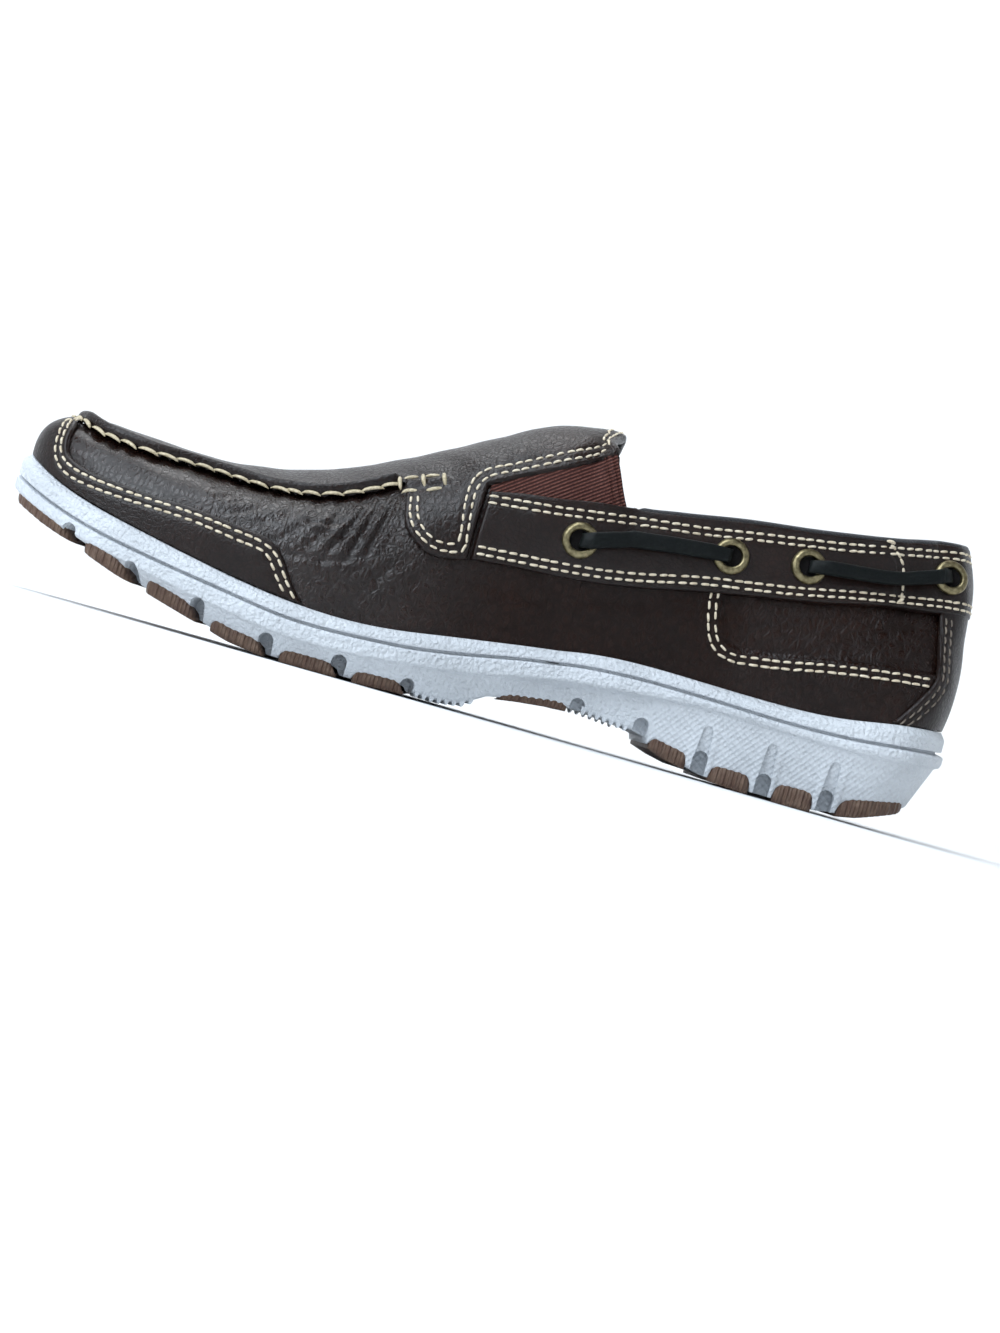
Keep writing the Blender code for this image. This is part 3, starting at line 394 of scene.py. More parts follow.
def ramp(nodes, links, source, *stops):
    """A colour ramp from (position, colour) stops."""
    node = nodes.new("ShaderNodeValToRGB")
    links.new(source, node.inputs["Fac"])
    elements = node.color_ramp.elements
    while len(elements) < len(stops):
        elements.new(0.5)
    for element, (position, colour) in zip(elements, stops):
        element.position = position
        element.color = (*colour, 1) if len(colour) == 3 else colour
    return node.outputs["Color"]


def bump(nodes, links, source, depth, previous=None):
    """Relief of a given depth in millimetres on top of an earlier one."""
    node = nodes.new("ShaderNodeBump")
    node.inputs["Strength"].default_value = 1.0
    node.inputs["Distance"].default_value = depth * MM
    links.new(source, node.inputs["Height"])
    if previous is not None:
        links.new(previous, node.inputs["Normal"])
    return node.outputs["Normal"]


def plus(nodes, links, first, second):
    """The sum of two sockets."""
    total = nodes.new("ShaderNodeMath")
    links.new(first, total.inputs[0])
    links.new(second, total.inputs[1])
    return total.outputs[0]


def between(nodes, links, value, *stops):
    """A number that follows (value, result) stops, eased between them."""
    total = None
    for (a, low), (b, high) in zip(stops, stops[1:]):
        step = nodes.new("ShaderNodeMapRange")
        step.interpolation_type = "SMOOTHSTEP"
        start = low if total is None else 0.0
        for socket, number in zip(("From Min", "From Max", "To Min", "To Max"),
                                  (a, b, start, start + high - low)):
            step.inputs[socket].default_value = number
        links.new(value, step.inputs["Value"])
        step = step.outputs["Result"]
        total = step if total is None else plus(nodes, links, total, step)
    return total


def times(nodes, links, first, second):
    """The product of two sockets."""
    product = nodes.new("ShaderNodeMath")
    product.operation = "MULTIPLY"
    links.new(first, product.inputs[0])
    links.new(second, product.inputs[1])
    return product.outputs[0]


def pebbled(name, colour, pebble, relief, gloss, stretch=(1, 1, 1), slack=(),
            wax=(), patch=()):
    """Full-grain leather: domed cells of a given size parted by soft valleys, with
    smaller cells on them and pores. Slack gives (x, share of the relief) stops, wax
    (x, strength of the shine) stops, and patch (x, share) and (z, share) stops for a
    piece of rougher hide let in."""
    material, nodes, links, principled = shader(name, colour, gloss, Specular_IOR_Level=0.28)
    coordinates = nodes.new("ShaderNodeTexCoord").outputs["Object"]
    wobble = texture(nodes, links, "ShaderNodeTexNoise", 240, coordinates, Detail=3.0)
    shift = nodes.new("ShaderNodeVectorMath")
    shift.operation = "MULTIPLY_ADD"
    shift.inputs[1].default_value = (pebble * 1.6 * MM,) * 3
    links.new(wobble.outputs["Color"], shift.inputs[0])
    links.new(coordinates, shift.inputs[2])
    pulled = nodes.new("ShaderNodeVectorMath")
    pulled.operation = "MULTIPLY"
    pulled.inputs[1].default_value = stretch
    links.new(shift.outputs[0], pulled.inputs[0])
    cells = texture(nodes, links, "ShaderNodeTexVoronoi", 1000 / pebble, pulled.outputs[0],
                    feature="DISTANCE_TO_EDGE")
    small = texture(nodes, links, "ShaderNodeTexVoronoi", 2700 / pebble, pulled.outputs[0],
                    feature="DISTANCE_TO_EDGE")
    broad = texture(nodes, links, "ShaderNodeTexNoise", 38, coordinates, Detail=4.0)
    pores = texture(nodes, links, "ShaderNodeTexNoise", 2600, coordinates, Detail=2.0)
    dome = ramp(nodes, links, cells.outputs["Distance"], (0.0, (0, 0, 0)),
                (0.10, (0.45,) * 3), (0.24, (0.85,) * 3), (0.45, (1, 1, 1)))
    grain = ramp(nodes, links, small.outputs["Distance"], (0.0, (0, 0, 0)), (0.3, (1, 1, 1)))
    tone = ramp(nodes, links, broad.outputs["Fac"], (0.30, tuple(c * 0.75 for c in colour)),
                (0.52, colour), (0.72, tuple(c * 1.5 for c in colour)))
    # the colour is darkened down to half in the valleys between the cells: painted shade in the
    # hollows of the grain
    mix = nodes.new("ShaderNodeMix")
    mix.data_type, mix.blend_type = "RGBA", "MULTIPLY"
    mix.inputs["Factor"].default_value = 0.5
    links.new(tone, mix.inputs["A"])
    links.new(dome, mix.inputs["B"])
    links.new(mix.outputs["Result"], principled.inputs["Base Color"])
    shine = nodes.new("ShaderNodeMapRange")
    shine.inputs["To Min"].default_value = gloss + 0.14
    shine.inputs["To Max"].default_value = gloss
    links.new(dome, shine.inputs["Value"])
    links.new(shine.outputs["Result"], principled.inputs["Roughness"])
    place = nodes.new("ShaderNodeSeparateXYZ")
    links.new(coordinates, place.inputs[0])
    if wax:
        links.new(between(nodes, links, place.outputs["X"],
                          *[((x - ORIGIN[0]) * MM, amount) for x, amount in wax]),
                  principled.inputs["Specular IOR Level"])
    if slack:
        share = between(nodes, links, place.outputs["X"],
                        *[((x - ORIGIN[0]) * MM, amount) for x, amount in slack])
        if patch:
            let_in = times(nodes, links, *[
                between(nodes, links, place.outputs[axis],
                        *[((at - start) * MM, amount) for at, amount in stops])
                for axis, start, stops in (("X", ORIGIN[0], patch[0]), ("Z", 0, patch[1]))])
            share = plus(nodes, links, share, let_in)
        dome, grain = (times(nodes, links, share, height) for height in (dome, grain))
    large = bump(nodes, links, dome, relief)
    fine = bump(nodes, links, grain, relief * 0.32, large)
    uneven = bump(nodes, links, broad.outputs["Fac"], 0.5, fine)
    links.new(bump(nodes, links, pores.outputs["Fac"], 0.03, uneven),
              principled.inputs["Normal"])
    return material


vamp_leather = pebbled("pebbled_leather", (0.0135, 0.0054, 0.0034), 2.3, 0.17, 0.25,
                       (1.2, 1.0, 0.62),
                       slack=((120, 0.3), (185, 1.0), (215, 1.0), (250, 0.3)),
                       wax=((66, 0.2), (80, 0.14), (140, 0.14), (182, 0.34), (215, 0.5),
                            (250, 0.3)),
                       patch=(((70, 0.55), (77, 0)), ((37, 0), (41, 1))))


def soft_waves(points, size, depth):
    """Slow unevenness of hand-pulled leather, in millimetres."""
    p = points / size
    return depth * (np.sin(p[:, 0] * 2.1 + 1.7 * np.sin(p[:, 2] * 1.3))
                    * np.cos(p[:, 2] * 2.7 + 0.6 * p[:, 1])
                    + 0.5 * np.sin(p[:, 0] * 5.3 + p[:, 1] * 3.1 - p[:, 2] * 4.7))


def mesh_object(name, points, faces, *materials):
    """A smooth-shaded mesh from points in the shoemaker's millimetres."""
    mesh = bpy.data.meshes.new(name)
    mesh.from_pydata(((np.asarray(points) - ORIGIN) * MM).tolist(), [], faces)
    mesh.validate()
    mesh.shade_smooth()
    for material in materials:
        mesh.materials.append(material)
    item = bpy.data.objects.new(name, mesh)
    bpy.context.scene.collection.objects.link(item)
    return item


def grid_faces(columns, rows, start=0, wrap=False):
    """Faces of a grid whose columns go round the shoe and rows go up it."""
    i = np.arange(columns if wrap else columns - 1)[:, None]
    j = np.arange(rows - 1)[None, :]
    near, far = start + i * rows + j, start + (i + 1) % columns * rows + j
    return np.stack([near, near + 1, far + 1, far], axis=-1).reshape(-1, 4).tolist()


def sheet(q, low, high, shares):
    """A grid of places and shares up the ribs, between a lower and an upper edge."""
    Q = np.repeat(q[:, None], len(shares), axis=1)
    return Q, low[:, None] + (high - low)[:, None] * shares[None, :]


def settle(piece, slot, *nodes):
    """Fixes a piece to the shoe and hides the solids it stands for. Its finish, slot, is not
    used.
    """
    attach(piece, "root")
    if nodes:
        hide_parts(*nodes)


def make_vamp():
    q = np.linspace(0, TURN, VAMP_GRID[0], endpoint=False)
    edge = np.where(station(q) > TONGUE_CORNER, up_at(q, TONGUE_EDGE.height(q) + UNDERLAP),
                    1.0)
    under_gore = (station(q) > COLLAR_FRONT + 0.2) & (station(q) <= TONGUE_CORNER)
    edge = np.where(under_gore, up_at(q, GORE_CUT), edge)
    shares = np.concatenate([[-0.06], np.linspace(0, 1, VAMP_GRID[1])])
    Q, U = sheet(q, np.zeros(len(q)), edge, shares)
    base = on_skin(Q, U).reshape(-1, 3)
    relief = crease_relief(base) + soft_waves(base, 14, 0.16)
    # the pocket panel, below its folded edge
    outline = np.concatenate([PANEL_EDGE.points(INNER), PANEL_EDGE.points(OUTER)])
    gap = distance_to(base, outline)[0]
    rib = station(Q).ravel()
    inside = (rib < PANEL_EDGE.q.max()) & (base[:, 2] > PANEL_EDGE.height(Q.ravel()))
    fold = np.where(inside, -POCKET_DROP, 0.5 * np.exp(-((gap - 0.8) / 1.1) ** 2))
    relief += fold * (0.25 + 0.75 * np.clip(gap / 0.5, 0, 1))
    # gathers between the stitches of the moc seam
    seam = np.concatenate([TONGUE_EDGE.points(side)[TONGUE_EDGE.x > GATHERS_FROM]
                           for side in (INNER, OUTER)])
    gap, nearest = distance_to(base, seam)
    along = nearest * SEAM_STEP / GATHER
    below = np.clip(1 - gap / 9, 0, 1) ** 2
    swell = below * (0.35 * np.cos(2 * np.pi * along) - 0.5)
    relief += np.where(rib > GATHERS_RIB, swell, 0)
    points = on_skin(Q, U, relief.reshape(Q.shape))
    return mesh_object("vamp_and_quarters", points.reshape(-1, 3),
                       grid_faces(*Q.shape, wrap=True), vamp_leather)


settle(make_vamp(), "leather", "upper")

# ---- Lining ---------------------------------------------------------------------
# Black brushed textile glued inside the leather; it turns out over the collar's
# edge as a soft roll.
LINING_DEPTH = 2.0       # how far it lies in from the skin
LINING_LOW = 73.9        # its top behind the elastic is nowhere lower
LINING_GRID = (420, 60)
lining_cloth, nodes, links, principled = shader("lining_cloth", (0.012, 0.012, 0.014), 0.9,
                                                Sheen_Weight=0.25)
fuzz = texture(nodes, links, "ShaderNodeTexNoise", 1800, Detail=4.0)
weave = texture(nodes, links, "ShaderNodeTexVoronoi", 1500)
links.new(ramp(nodes, links, fuzz.outputs["Fac"], (0.35, (0.007, 0.007, 0.008)),
               (0.7, (0.022, 0.022, 0.025))), principled.inputs["Base Color"])
links.new(bump(nodes, links, weave.outputs["Distance"], 0.15), principled.inputs["Normal"])


def turned(faces):
    """The same faces, looking the other way."""
    return [face[::-1] for face in faces]


def make_lining():
    q = np.linspace(0, TURN, LINING_GRID[0], endpoint=False)
    top = np.where((station(q) > COLLAR_FRONT) & (station(q) < GORE_REAR.q[-1]),
                   up_at(q, np.maximum(GORE_REAR.height(q), LINING_LOW)), 1.0)
    top = np.where(station(q) > GORE_REAR.q[-1], 1 - 0.8 / rib_length(q), top)
    Q, U = sheet(q, np.zeros(len(q)), top, np.linspace(-0.04, 1, LINING_GRID[1]))
    base = on_skin(Q, U).reshape(-1, 3)
    off = -LINING_DEPTH + soft_waves(base, 9, 0.18).reshape(Q.shape)
    off = np.where(station(Q) > 22.4, -LINING_DEPTH, off)
    # close under the leather at the tongue's edge
    from_edge = (1 - U) * rib_length(q)[:, None]
    tip = (station(Q) > GORE_REAR.q[-1]) & (station(Q) < TONGUE + 1)
    off += np.where(tip, np.clip(1 - from_edge / 7, 0, 1), 0)
    points = on_skin(Q, U, off)
    return mesh_object("lining", points.reshape(-1, 3),
                       turned(grid_faces(*Q.shape, wrap=True)), lining_cloth)


settle(make_lining(), "lining")

# ---- Mudguard and backstay --------------------------------------------------------
# Smooth leather laid on the upper and sewn down: the mudguard bumpers the toe, the
# backstay covers the heel seam. Their edges are skived, rounded and stitched.
STAND = 0.6             # height of an overlay's underside over the skin
CUT = 1.2               # its thickness
FEATHER = 0.012         # share up the ribs where it goes in behind the sole's rim
FINE = (0.0, 0.14, 0.38, 0.75, 1.2)   # rows next to a cut edge


def spread(length, step):
    """Shares from 0 to 1 across a width: close together at both ends."""
    fine = [f for f in FINE if f < length / 3]
    count = max(2, int((length - 2 * fine[-1]) / step))
    middle = np.linspace(fine[-1], length - fine[-1], count + 1)
    rows = fine[:-1] + middle.tolist() + [length - f for f in reversed(fine[:-1])]
    return np.array(rows) / length


def around_mm(q):
    """Length round the featherline at places q, for spacing columns."""
    feet = SKIN[:, ROWS // 3, :2]
    run = np.concatenate([[0], np.cumsum(np.hypot(*np.diff(feet, axis=0).T))])
    laps = np.floor(np.asarray(q) / TURN)
    return np.interp(np.asarray(q) % TURN * PER_RIB, range(len(run)), run) + laps * run[-1]


def columns_between(first, last, step=0.7):
    """Places from first to last, evenly spaced round the shoe, closer at the ends."""
    fine = np.linspace(first, last, 2000)
    run = around_mm(fine)
    shares = spread(run[-1] - run[0], step)
    return np.interp(run[0] + shares * (run[-1] - run[0]), run, fine)


def thicken(path, times=4):
    """More points along a row of points."""
    at = np.linspace(0, len(path) - 1, (len(path) - 1) * times + 1)
    return np.stack([np.interp(at, range(len(path)), path[:, k]) for k in range(3)], axis=1)


def pressed(points, paths, depth=0.28, half=0.75):
    """How far rows of stitches pull the leather in."""
    gap = distance_to(points, np.concatenate(paths))[0]
    return -depth * np.exp(-(gap / half) ** 2)


def cut_edge(gap, height, radius=1.0, sunk=0.25):
    """Height over the skin of a leather piece, at a distance from its cut edge."""
    share = np.clip(gap / radius, 0, 1)
    return -sunk + (height + sunk) * np.sqrt(1 - (1 - share) ** 2)


def overlay_grid(q, low, high, step=0.8):
    """Places and shares of a piece between two heights given as shares of the ribs."""
    length = float(np.max((high - low) * rib_length(q)))
    return sheet(q, low, high, spread(length, step))


def lay_overlay(name, grid, cut_edges, seams, height=STAND + CUT, extra=None):
    """A piece of leather on the skin; cut_edges are the sides of its grid that show
    as cut edges."""
    Q, U = grid
    base = on_skin(Q, U)
    sides = {"low": base[:, 0], "high": base[:, -1], "first": base[0], "last": base[-1]}
    outline = np.concatenate([thicken(sides[edge]) for edge in cut_edges])
    flat = base.reshape(-1, 3)
    off = cut_edge(distance_to(flat, outline)[0], height)
    off += pressed(flat, seams) + soft_waves(flat, 12, 0.08)
    if extra is not None:
        off += extra(flat)
    points = on_skin(Q, U, off.reshape(Q.shape)).reshape(-1, 3)
    return mesh_object(name, points, grid_faces(*Q.shape), smooth_brown)


smooth_brown = pebbled("smooth_leather", (0.0118, 0.0049, 0.0033), 1.5, 0.055, 0.28)

GUARD_HIGH = Line(((201.9, 18.4), (206.5, 24.2), (210.7, 30.1), (214.5, 33.4), (222.8, 35.2),
                   (239, 36.9), (255.1, 37.5), (265.2, 38.4), (275.9, 39.9), (281, 41.6),
                   (283.6, 43.6), (284.6, 46.2), (285.1, 49), (285.6, 52.6), (288, 54.4)))
GUARD_SEAMS = [Line(((207.5, 20.2), (212.1, 25.7), (215.4, 29.4), (221.4, 30.8),
                     (237.6, 32.8), (253.8, 33.7), (262.1, 34.1), (270.6, 34.8),
                     (277.9, 35.9), (283.6, 38.1), (286.6, 41), (288, 44.2), (288.8, 48.6),
                     (289.4, 52.2)), tail=((21.95, 0.5), (21.97, 0.57))),
               Line(((204.2, 19.3), (209, 25.4), (213, 30.2), (217.5, 32.4), (224, 33.4),
                     (238.5, 35), (254.5, 35.8), (264, 36.5), (274.5, 37.8), (281.2, 39.6),
                     (285, 42.2), (286.6, 45.4), (287.2, 49), (287.8, 52.6)),
                    tail=((21.83, 0.51), (21.85, 0.56)))]


def both_sides(lines):
    """The points of lines on the inner and on the outer side."""
    return [line.points(side) for line in lines for side in (INNER, OUTER)]


def make_mudguard():
    rear = place_at(201.9, 18.6)
    q = columns_between(rear, TURN - rear)
    low = np.full(len(q), FEATHER)
    high = np.maximum(up_at(q, GUARD_HIGH.height(q)), low + 0.01)
    return lay_overlay("mudguard_leather", overlay_grid(q, low, high),
                       ("high", "first", "last"), both_sides(GUARD_SEAMS))


settle(make_mudguard(), "leather", "mudguard")

UNDER_BAND = 72.5       # height that the backstay reaches under the collar band
BACKSTAY_EDGE = Line(((13.6, 69.4), (13.1, 66), (12.3, 58.7), (11.7, 49.3), (13.9, 44.8),
                      (17.2, 39.8), (22.2, 32.6)))
BACKSTAY_SEAMS = [Line(((11.9, 69.5), (11.2, 63), (10.6, 56), (10.0, 49.4), (12.1, 44.0),
                        (15.4, 39.0), (20.0, 33.3))),
                  Line(((9.9, 69.5), (9.3, 63), (8.7, 56), (8.2, 48.8), (10.4, 43.0),
                        (13.7, 38.0), (17.6, 33.6)))]


def make_backstay():
    foot = place_at(22.2, 33)
    q = columns_between(-foot, foot)
    heights = np.interp(station(q), *zip(*sorted(zip(BACKSTAY_EDGE.q, BACKSTAY_EDGE.z))))
    low = np.full(len(q), FEATHER)
    high = np.maximum(up_at(q, np.where(station(q) < BACKSTAY_EDGE.q.min(), UNDER_BAND,
                                        heights)), low + 0.01)
    return lay_overlay("backstay_leather", overlay_grid(q, low, high),
                       ("high", "first", "last"), both_sides(BACKSTAY_SEAMS), height=1.3)


settle(make_backstay(), "leather", "backstay")

# ---- Collar band ----------------------------------------------------------------
# A folded band of the same leather round the collar, sewn with two rows along each
# edge, with a bartacked joint on each side behind the laces.
BAND_LOW = Line(((1.2, 71.9), (5.9, 71.4), (16.7, 69.1), (26.7, 67.6), (39.3, 65),
                 (51.5, 61.9), (63.9, 59.6), (76.2, 57.4), (88.1, 55.1), (102.9, 51.8),
                 (118, 49.1), (130.2, 47.7), (142.6, 46.7), (158.3, 45)))
GORE_LOW = Line(((113, 74.6), (116.6, 74), (124.6, 72.9), (136.6, 70.5), (148.7, 68.6),
                 (158.3, 66.4)))
LOW_ROW = ((9.9, 72.6), (26.8, 69.1), (42.7, 66), (58.1, 62.6), (73.5, 60), (88.7, 57.5),
           (103.5, 54.1), (118.5, 51.3), (133.9, 49.6), (157, 47.4))
HIGH_ROW = ((13.7, 90), (30.8, 86.2), (46.5, 82.5), (62.5, 79.5), (78.4, 76.7), (93.4, 74),
            (108.4, 71.9), (123.7, 69.5), (138.9, 67.2), (157, 65))
ROW_GAP = 2.1           # between the two rows of a pair
# each row starts with two points of its own round the heel
BAND_SEAMS = [Line(heel + tuple((x, z + rise) for x, z in row)) for heel, row, rise in (
    (((1.9, 74.2), (5.5, 73.5)), LOW_ROW, 0), (((2.0, 76.3), (5.7, 75.6)), LOW_ROW, ROW_GAP),
    (((5.6, 91.6), (9.0, 91.0)), HIGH_ROW, 0),
    (((5.0, 89.5), (8.6, 88.9)), HIGH_ROW, -ROW_GAP))]
BAND_JOINT = Line(((37, 86.2), (33.9, 83.4), (31.9, 81.3), (30.4, 76), (29.6, 69.8)))


def make_band():
    front = place_at(157.6, 56)
    q = columns_between(-front, front)
    low = up_at(q, BAND_LOW.height(q))
    high = np.where(station(q) > COLLAR_FRONT, up_at(q, GORE_LOW.height(q)), 1.0)
    joint = np.concatenate(both_sides([BAND_JOINT]))

    def lap(points):
        """At the joint one end laps over the other, pressed in along its edge."""
        gap = distance_to(points, joint)[0]
        ahead = points[:, 0] > np.interp(points[:, 2], BAND_JOINT.z[::-1], BAND_JOINT.x[::-1])
        return np.where(ahead, 0.35, 0.0) * np.exp(-(gap / 4.0) ** 2) - 0.45 * np.exp(
            -(gap / 0.5) ** 2)
    return lay_overlay("collar_band_leather", overlay_grid(q, low, high),
                       ("low", "high", "first", "last"), both_sides(BAND_SEAMS), extra=lap)


settle(make_band(), "leather", "collar_band")


def edge_direction(q):
    """Unit directions in the skin, square to the edge made by the tops of the ribs."""
    ahead = np.gradient(on_skin(q, 1.0), axis=0)
    past = np.cross(ahead, on_skin(q, 1.0, 1.0) - on_skin(q, 1.0))
    past *= np.sign(np.sum(past * (on_skin(q, 1.0) - on_skin(q, 0.97)), axis=1))[:, None]
    past /= np.linalg.norm(past, axis=1, keepdims=True)
    # across the middle of the tongue it points straight to the heel
    normal = on_skin(q, 1.0, 1.0) - on_skin(q, 1.0)
    back = np.array((-1.0, 0.0, 0.0)) + normal * normal[:, :1]
    share = np.clip((station(q) - 10.3) / 1.2, 0, 1)[:, None]
    past = past * (1 - share) + back * share
    return past / np.linalg.norm(past, axis=1, keepdims=True)


def edge_roll(name, q, high, low, material):
    """A rounded edge along the tops of the ribs, from one depth to another. It sinks
    in at its two ends."""
    turns = np.radians(np.linspace(-25, 205, 13))
    past = edge_direction(q)
    radius = (high - low) / 2
    from_end = np.minimum(np.abs(q - q[0]), np.abs(q - q[-1]))
    full = np.clip(from_end / 0.15, 0, 1)[:, None] ** 0.5
    points = [on_skin(q, 1.0, (high + low) / 2 + radius * math.cos(turn))
              + past * (radius * 0.75 * math.sin(turn) * full - 0.3 - (1 - full) * 0.5)
              for turn in turns]
    return mesh_object(name, np.stack(points, axis=1).reshape(-1, 3),
                       grid_faces(len(q), len(turns)), material)


settle(edge_roll("collar_roll", np.linspace(-COLLAR_FRONT, COLLAR_FRONT, 500), 1.5,
                 -LINING_DEPTH, lining_cloth), "lining")

# ---- Gores ------------------------------------------------------------------------
# Reddish-brown elastic webbing, finely ribbed on the slant, that lets the tongue
# stretch away from the collar. Its rear edge is folded back and sewn.
RIB_SLANT, RIB_PITCH = (0.615, 0.0, 0.788), 1.05
HEM, HEM_ROWS = 4.4, (1.3, 3.4)      # its width, and how far in its two rows are sewn
GORE_GRID = (260, 90)
FOOT_SIDES = (("inner", INNER), ("outer", OUTER))
webbing, nodes, links, principled = shader("elastic_webbing", (0.09, 0.026, 0.019), 0.75,
                                           Specular_IOR_Level=0.2)
coordinates = nodes.new("ShaderNodeTexCoord").outputs["Object"]
across = nodes.new("ShaderNodeVectorMath")
across.operation = "DOT_PRODUCT"
across.inputs[1].default_value = [v * 2 * math.pi / (RIB_PITCH * MM) for v in RIB_SLANT]
links.new(coordinates, across.inputs[0])
wave = nodes.new("ShaderNodeMath")
wave.operation = "SINE"
links.new(across.outputs["Value"], wave.inputs[0])
cord = nodes.new("ShaderNodeMapRange")
cord.inputs["From Min"].default_value = -1.0
links.new(wave.outputs[0], cord.inputs["Value"])
threads = texture(nodes, links, "ShaderNodeTexNoise", 1900, coordinates, Detail=3.0)
uneven = times(nodes, links, cord.outputs["Result"], threads.outputs["Fac"])
# the colour follows the ribs: painted shade in the grooves between them and painted highlight on
# their tops, varied by the threads' noise
links.new(ramp(nodes, links, uneven, (0.05, (0.022, 0.0055, 0.004)),
               (0.3, (0.055, 0.015, 0.011)), (0.75, (0.20, 0.082, 0.062))),
          principled.inputs["Base Color"])
links.new(bump(nodes, links, cord.outputs["Result"], 0.22,
               bump(nodes, links, threads.outputs["Fac"], 0.12)), principled.inputs["Normal"])


def make_gore(name, side):
    q = np.linspace(GORE_REAR.q[0] + 0.01, place_at(157.4, 68), GORE_GRID[0])
    low = up_at(q * side, GORE_LOW.height(q) - 0.8)
    high = up_at(q * side, np.where(q < GORE_REAR.q[-1], GORE_REAR.height(q),
                                    TONGUE_EDGE.height(q) + 1.5))
    high = np.maximum(high, low + 0.002)
    Q, U = sheet(q * side, low, high, np.linspace(0, 1, GORE_GRID[1]))
    base = on_skin(Q, U).reshape(-1, 3)
    rear = thicken(GORE_REAR.points(side))
    gap = distance_to(base, rear)[0]
    hem = np.clip((HEM - gap) / 0.4, 0, 1) * np.clip(gap / 0.5, 0, 1)
    grooves = sum(np.exp(-((gap - row) / 0.3) ** 2) for row in HEM_ROWS)
    off = 0.8 + 0.55 * hem - 0.5 * grooves
    points = on_skin(Q, U, off.reshape(Q.shape)).reshape(-1, 3)
    faces = grid_faces(*Q.shape)
    return mesh_object(name, points, faces if side == INNER else turned(faces), webbing)


for side_name, side in FOOT_SIDES:
    settle(make_gore(f"gore_{side_name}_webbing", side), "elastic", f"gore_{side_name}")

# ---- Plug, tongue and saddle tabs ---------------------------------------------------
# One piece of leather: the moc-toe plug, whose edge is rolled up into a ridge along
# the hand-sewn seam, runs back as the tongue, and down each side as a saddle tab.
TAB_LOW = Line(((158.4, 44.9), (160.4, 44.2), (164.9, 43.2), (170.3, 43.3), (174.9, 45.5),
                (178.3, 48.4), (180.3, 52.8), (181.5, 58.7), (182.6, 62.6)))
TAB_REAR, TAB_FRONT = place_at(158.4, 56), place_at(182.6, 62.6)
RIDGE_START = place_at(184, 62.2)
RIDGE, RIDGE_IN, RIDGE_HALF = 2.1, 1.9, 1.75   # height, distance from the seam, half width
PLUG_REACH, TAB_REACH = 58, 24       # longest way up a rib, for spacing the rows
TONGUE_SEAMS = [Line(((125, 89.8), (129.6, 86.7), (137, 82.5), (145.2, 78), (153.6, 73.5),
                      (157.9, 71), (160.3, 68.2), (161.2, 64), (161.1, 60), (160.6, 55.6),
                      (160.2, 51), (160.2, 48), (161.2, 46.3))),
                Line(((126, 91.8), (130.8, 88.6), (138.2, 84.5), (146.2, 80), (155, 75.2),
                      (160, 72.2), (162.6, 68.6), (163.3, 64), (163.2, 60), (162.7, 55.6),
                      (162.3, 51), (162.4, 48.6)))]
TAB_SEAMS = [Line(((161.2, 46.2), (165, 45.3), (169.6, 45.4), (173.6, 47.2), (176.6, 49.8),
                   (178.4, 53.2), (179.5, 58.5))),
             Line(((163, 48.2), (166, 47.4), (169, 47.5), (172.4, 49), (174.8, 51.2),
                   (176.4, 54.2), (177.5, 59)))]
TIP_ROWS = ((1.5, 10.25), (3.6, 10.55))   # their distance from the edge, and first rib
# the moc ridge runs on under the box stitch, pinched by its bars
BOX_BARS = ((183.8, 60.9), (176.9, 63.3), (170.9, 65.5))
BOX_ROLL = Line(BOX_BARS, smooth=False)
tongue_leather = pebbled("tongue_leather", (0.0125, 0.0054, 0.0037), 1.9, 0.09, 0.27,
                         (1.0, 1.0, 0.6))


def ridge_height(gap, amount):
    """The plug's rolled edge: a wall up from the seam to a rounded ridge."""
    return amount * RIDGE * np.exp(-((gap - RIDGE_IN) / RIDGE_HALF) ** 2)


def tip_row(inset, start, side, off=STAND + CUT):
    """Points and normals of a row of stitches across the tongue's tip."""
    q = np.linspace(start, TONGUE, 24)
    goal = on_skin(q * side, 1.0) + np.array((inset, 0, 0))
    Q, U = np.meshgrid(np.linspace(TONGUE_CORNER, TONGUE + 1.2, 240), np.linspace(0.5, 1, 240))
    skin = on_skin(Q * side, U)
    found = [np.argmin(((skin - point) ** 2).sum(axis=2)) for point in goal]
    places, ups = (np.polyval(np.polyfit(q, grid.ravel()[found], 4), q) for grid in (Q, U))
    ups = np.minimum(ups, 1.0)
    row = on_skin(places * side, ups, off)
    return row, on_skin(places * side, ups, off + 1) - row


def weld(item, distance):
    """Joins the points that lie together where two grids meet."""
    shape = bmesh.new()
    shape.from_mesh(item.data)
    bmesh.ops.remove_doubles(shape, verts=shape.verts, dist=distance)
    bmesh.ops.dissolve_degenerate(shape, edges=shape.edges, dist=distance / 4)
    shape.to_mesh(item.data)
    shape.free()
    item.data.shade_smooth()


def plug_outline():
    """The cut edges of the plug, the tongue and the tabs."""
    outline = []
    for side in (INNER, OUTER):
        edge = TONGUE_EDGE.points(side)
        outline += [edge[(TONGUE_EDGE.q < TAB_REAR) | (TONGUE_EDGE.q > TAB_FRONT)],
                    TAB_LOW.points(side),
                    on_skin(TAB_REAR * side,
                            up_at(TAB_REAR * side, np.linspace(44.9, 68.2, 120))),
                    on_skin(np.linspace(TONGUE_CORNER, TONGUE, 400) * side, 1.0),
                    on_skin(TONGUE_CORNER * side,
                            up_at(TONGUE_CORNER * side, np.linspace(88.8, 92, 20)))]
    return np.concatenate(outline)


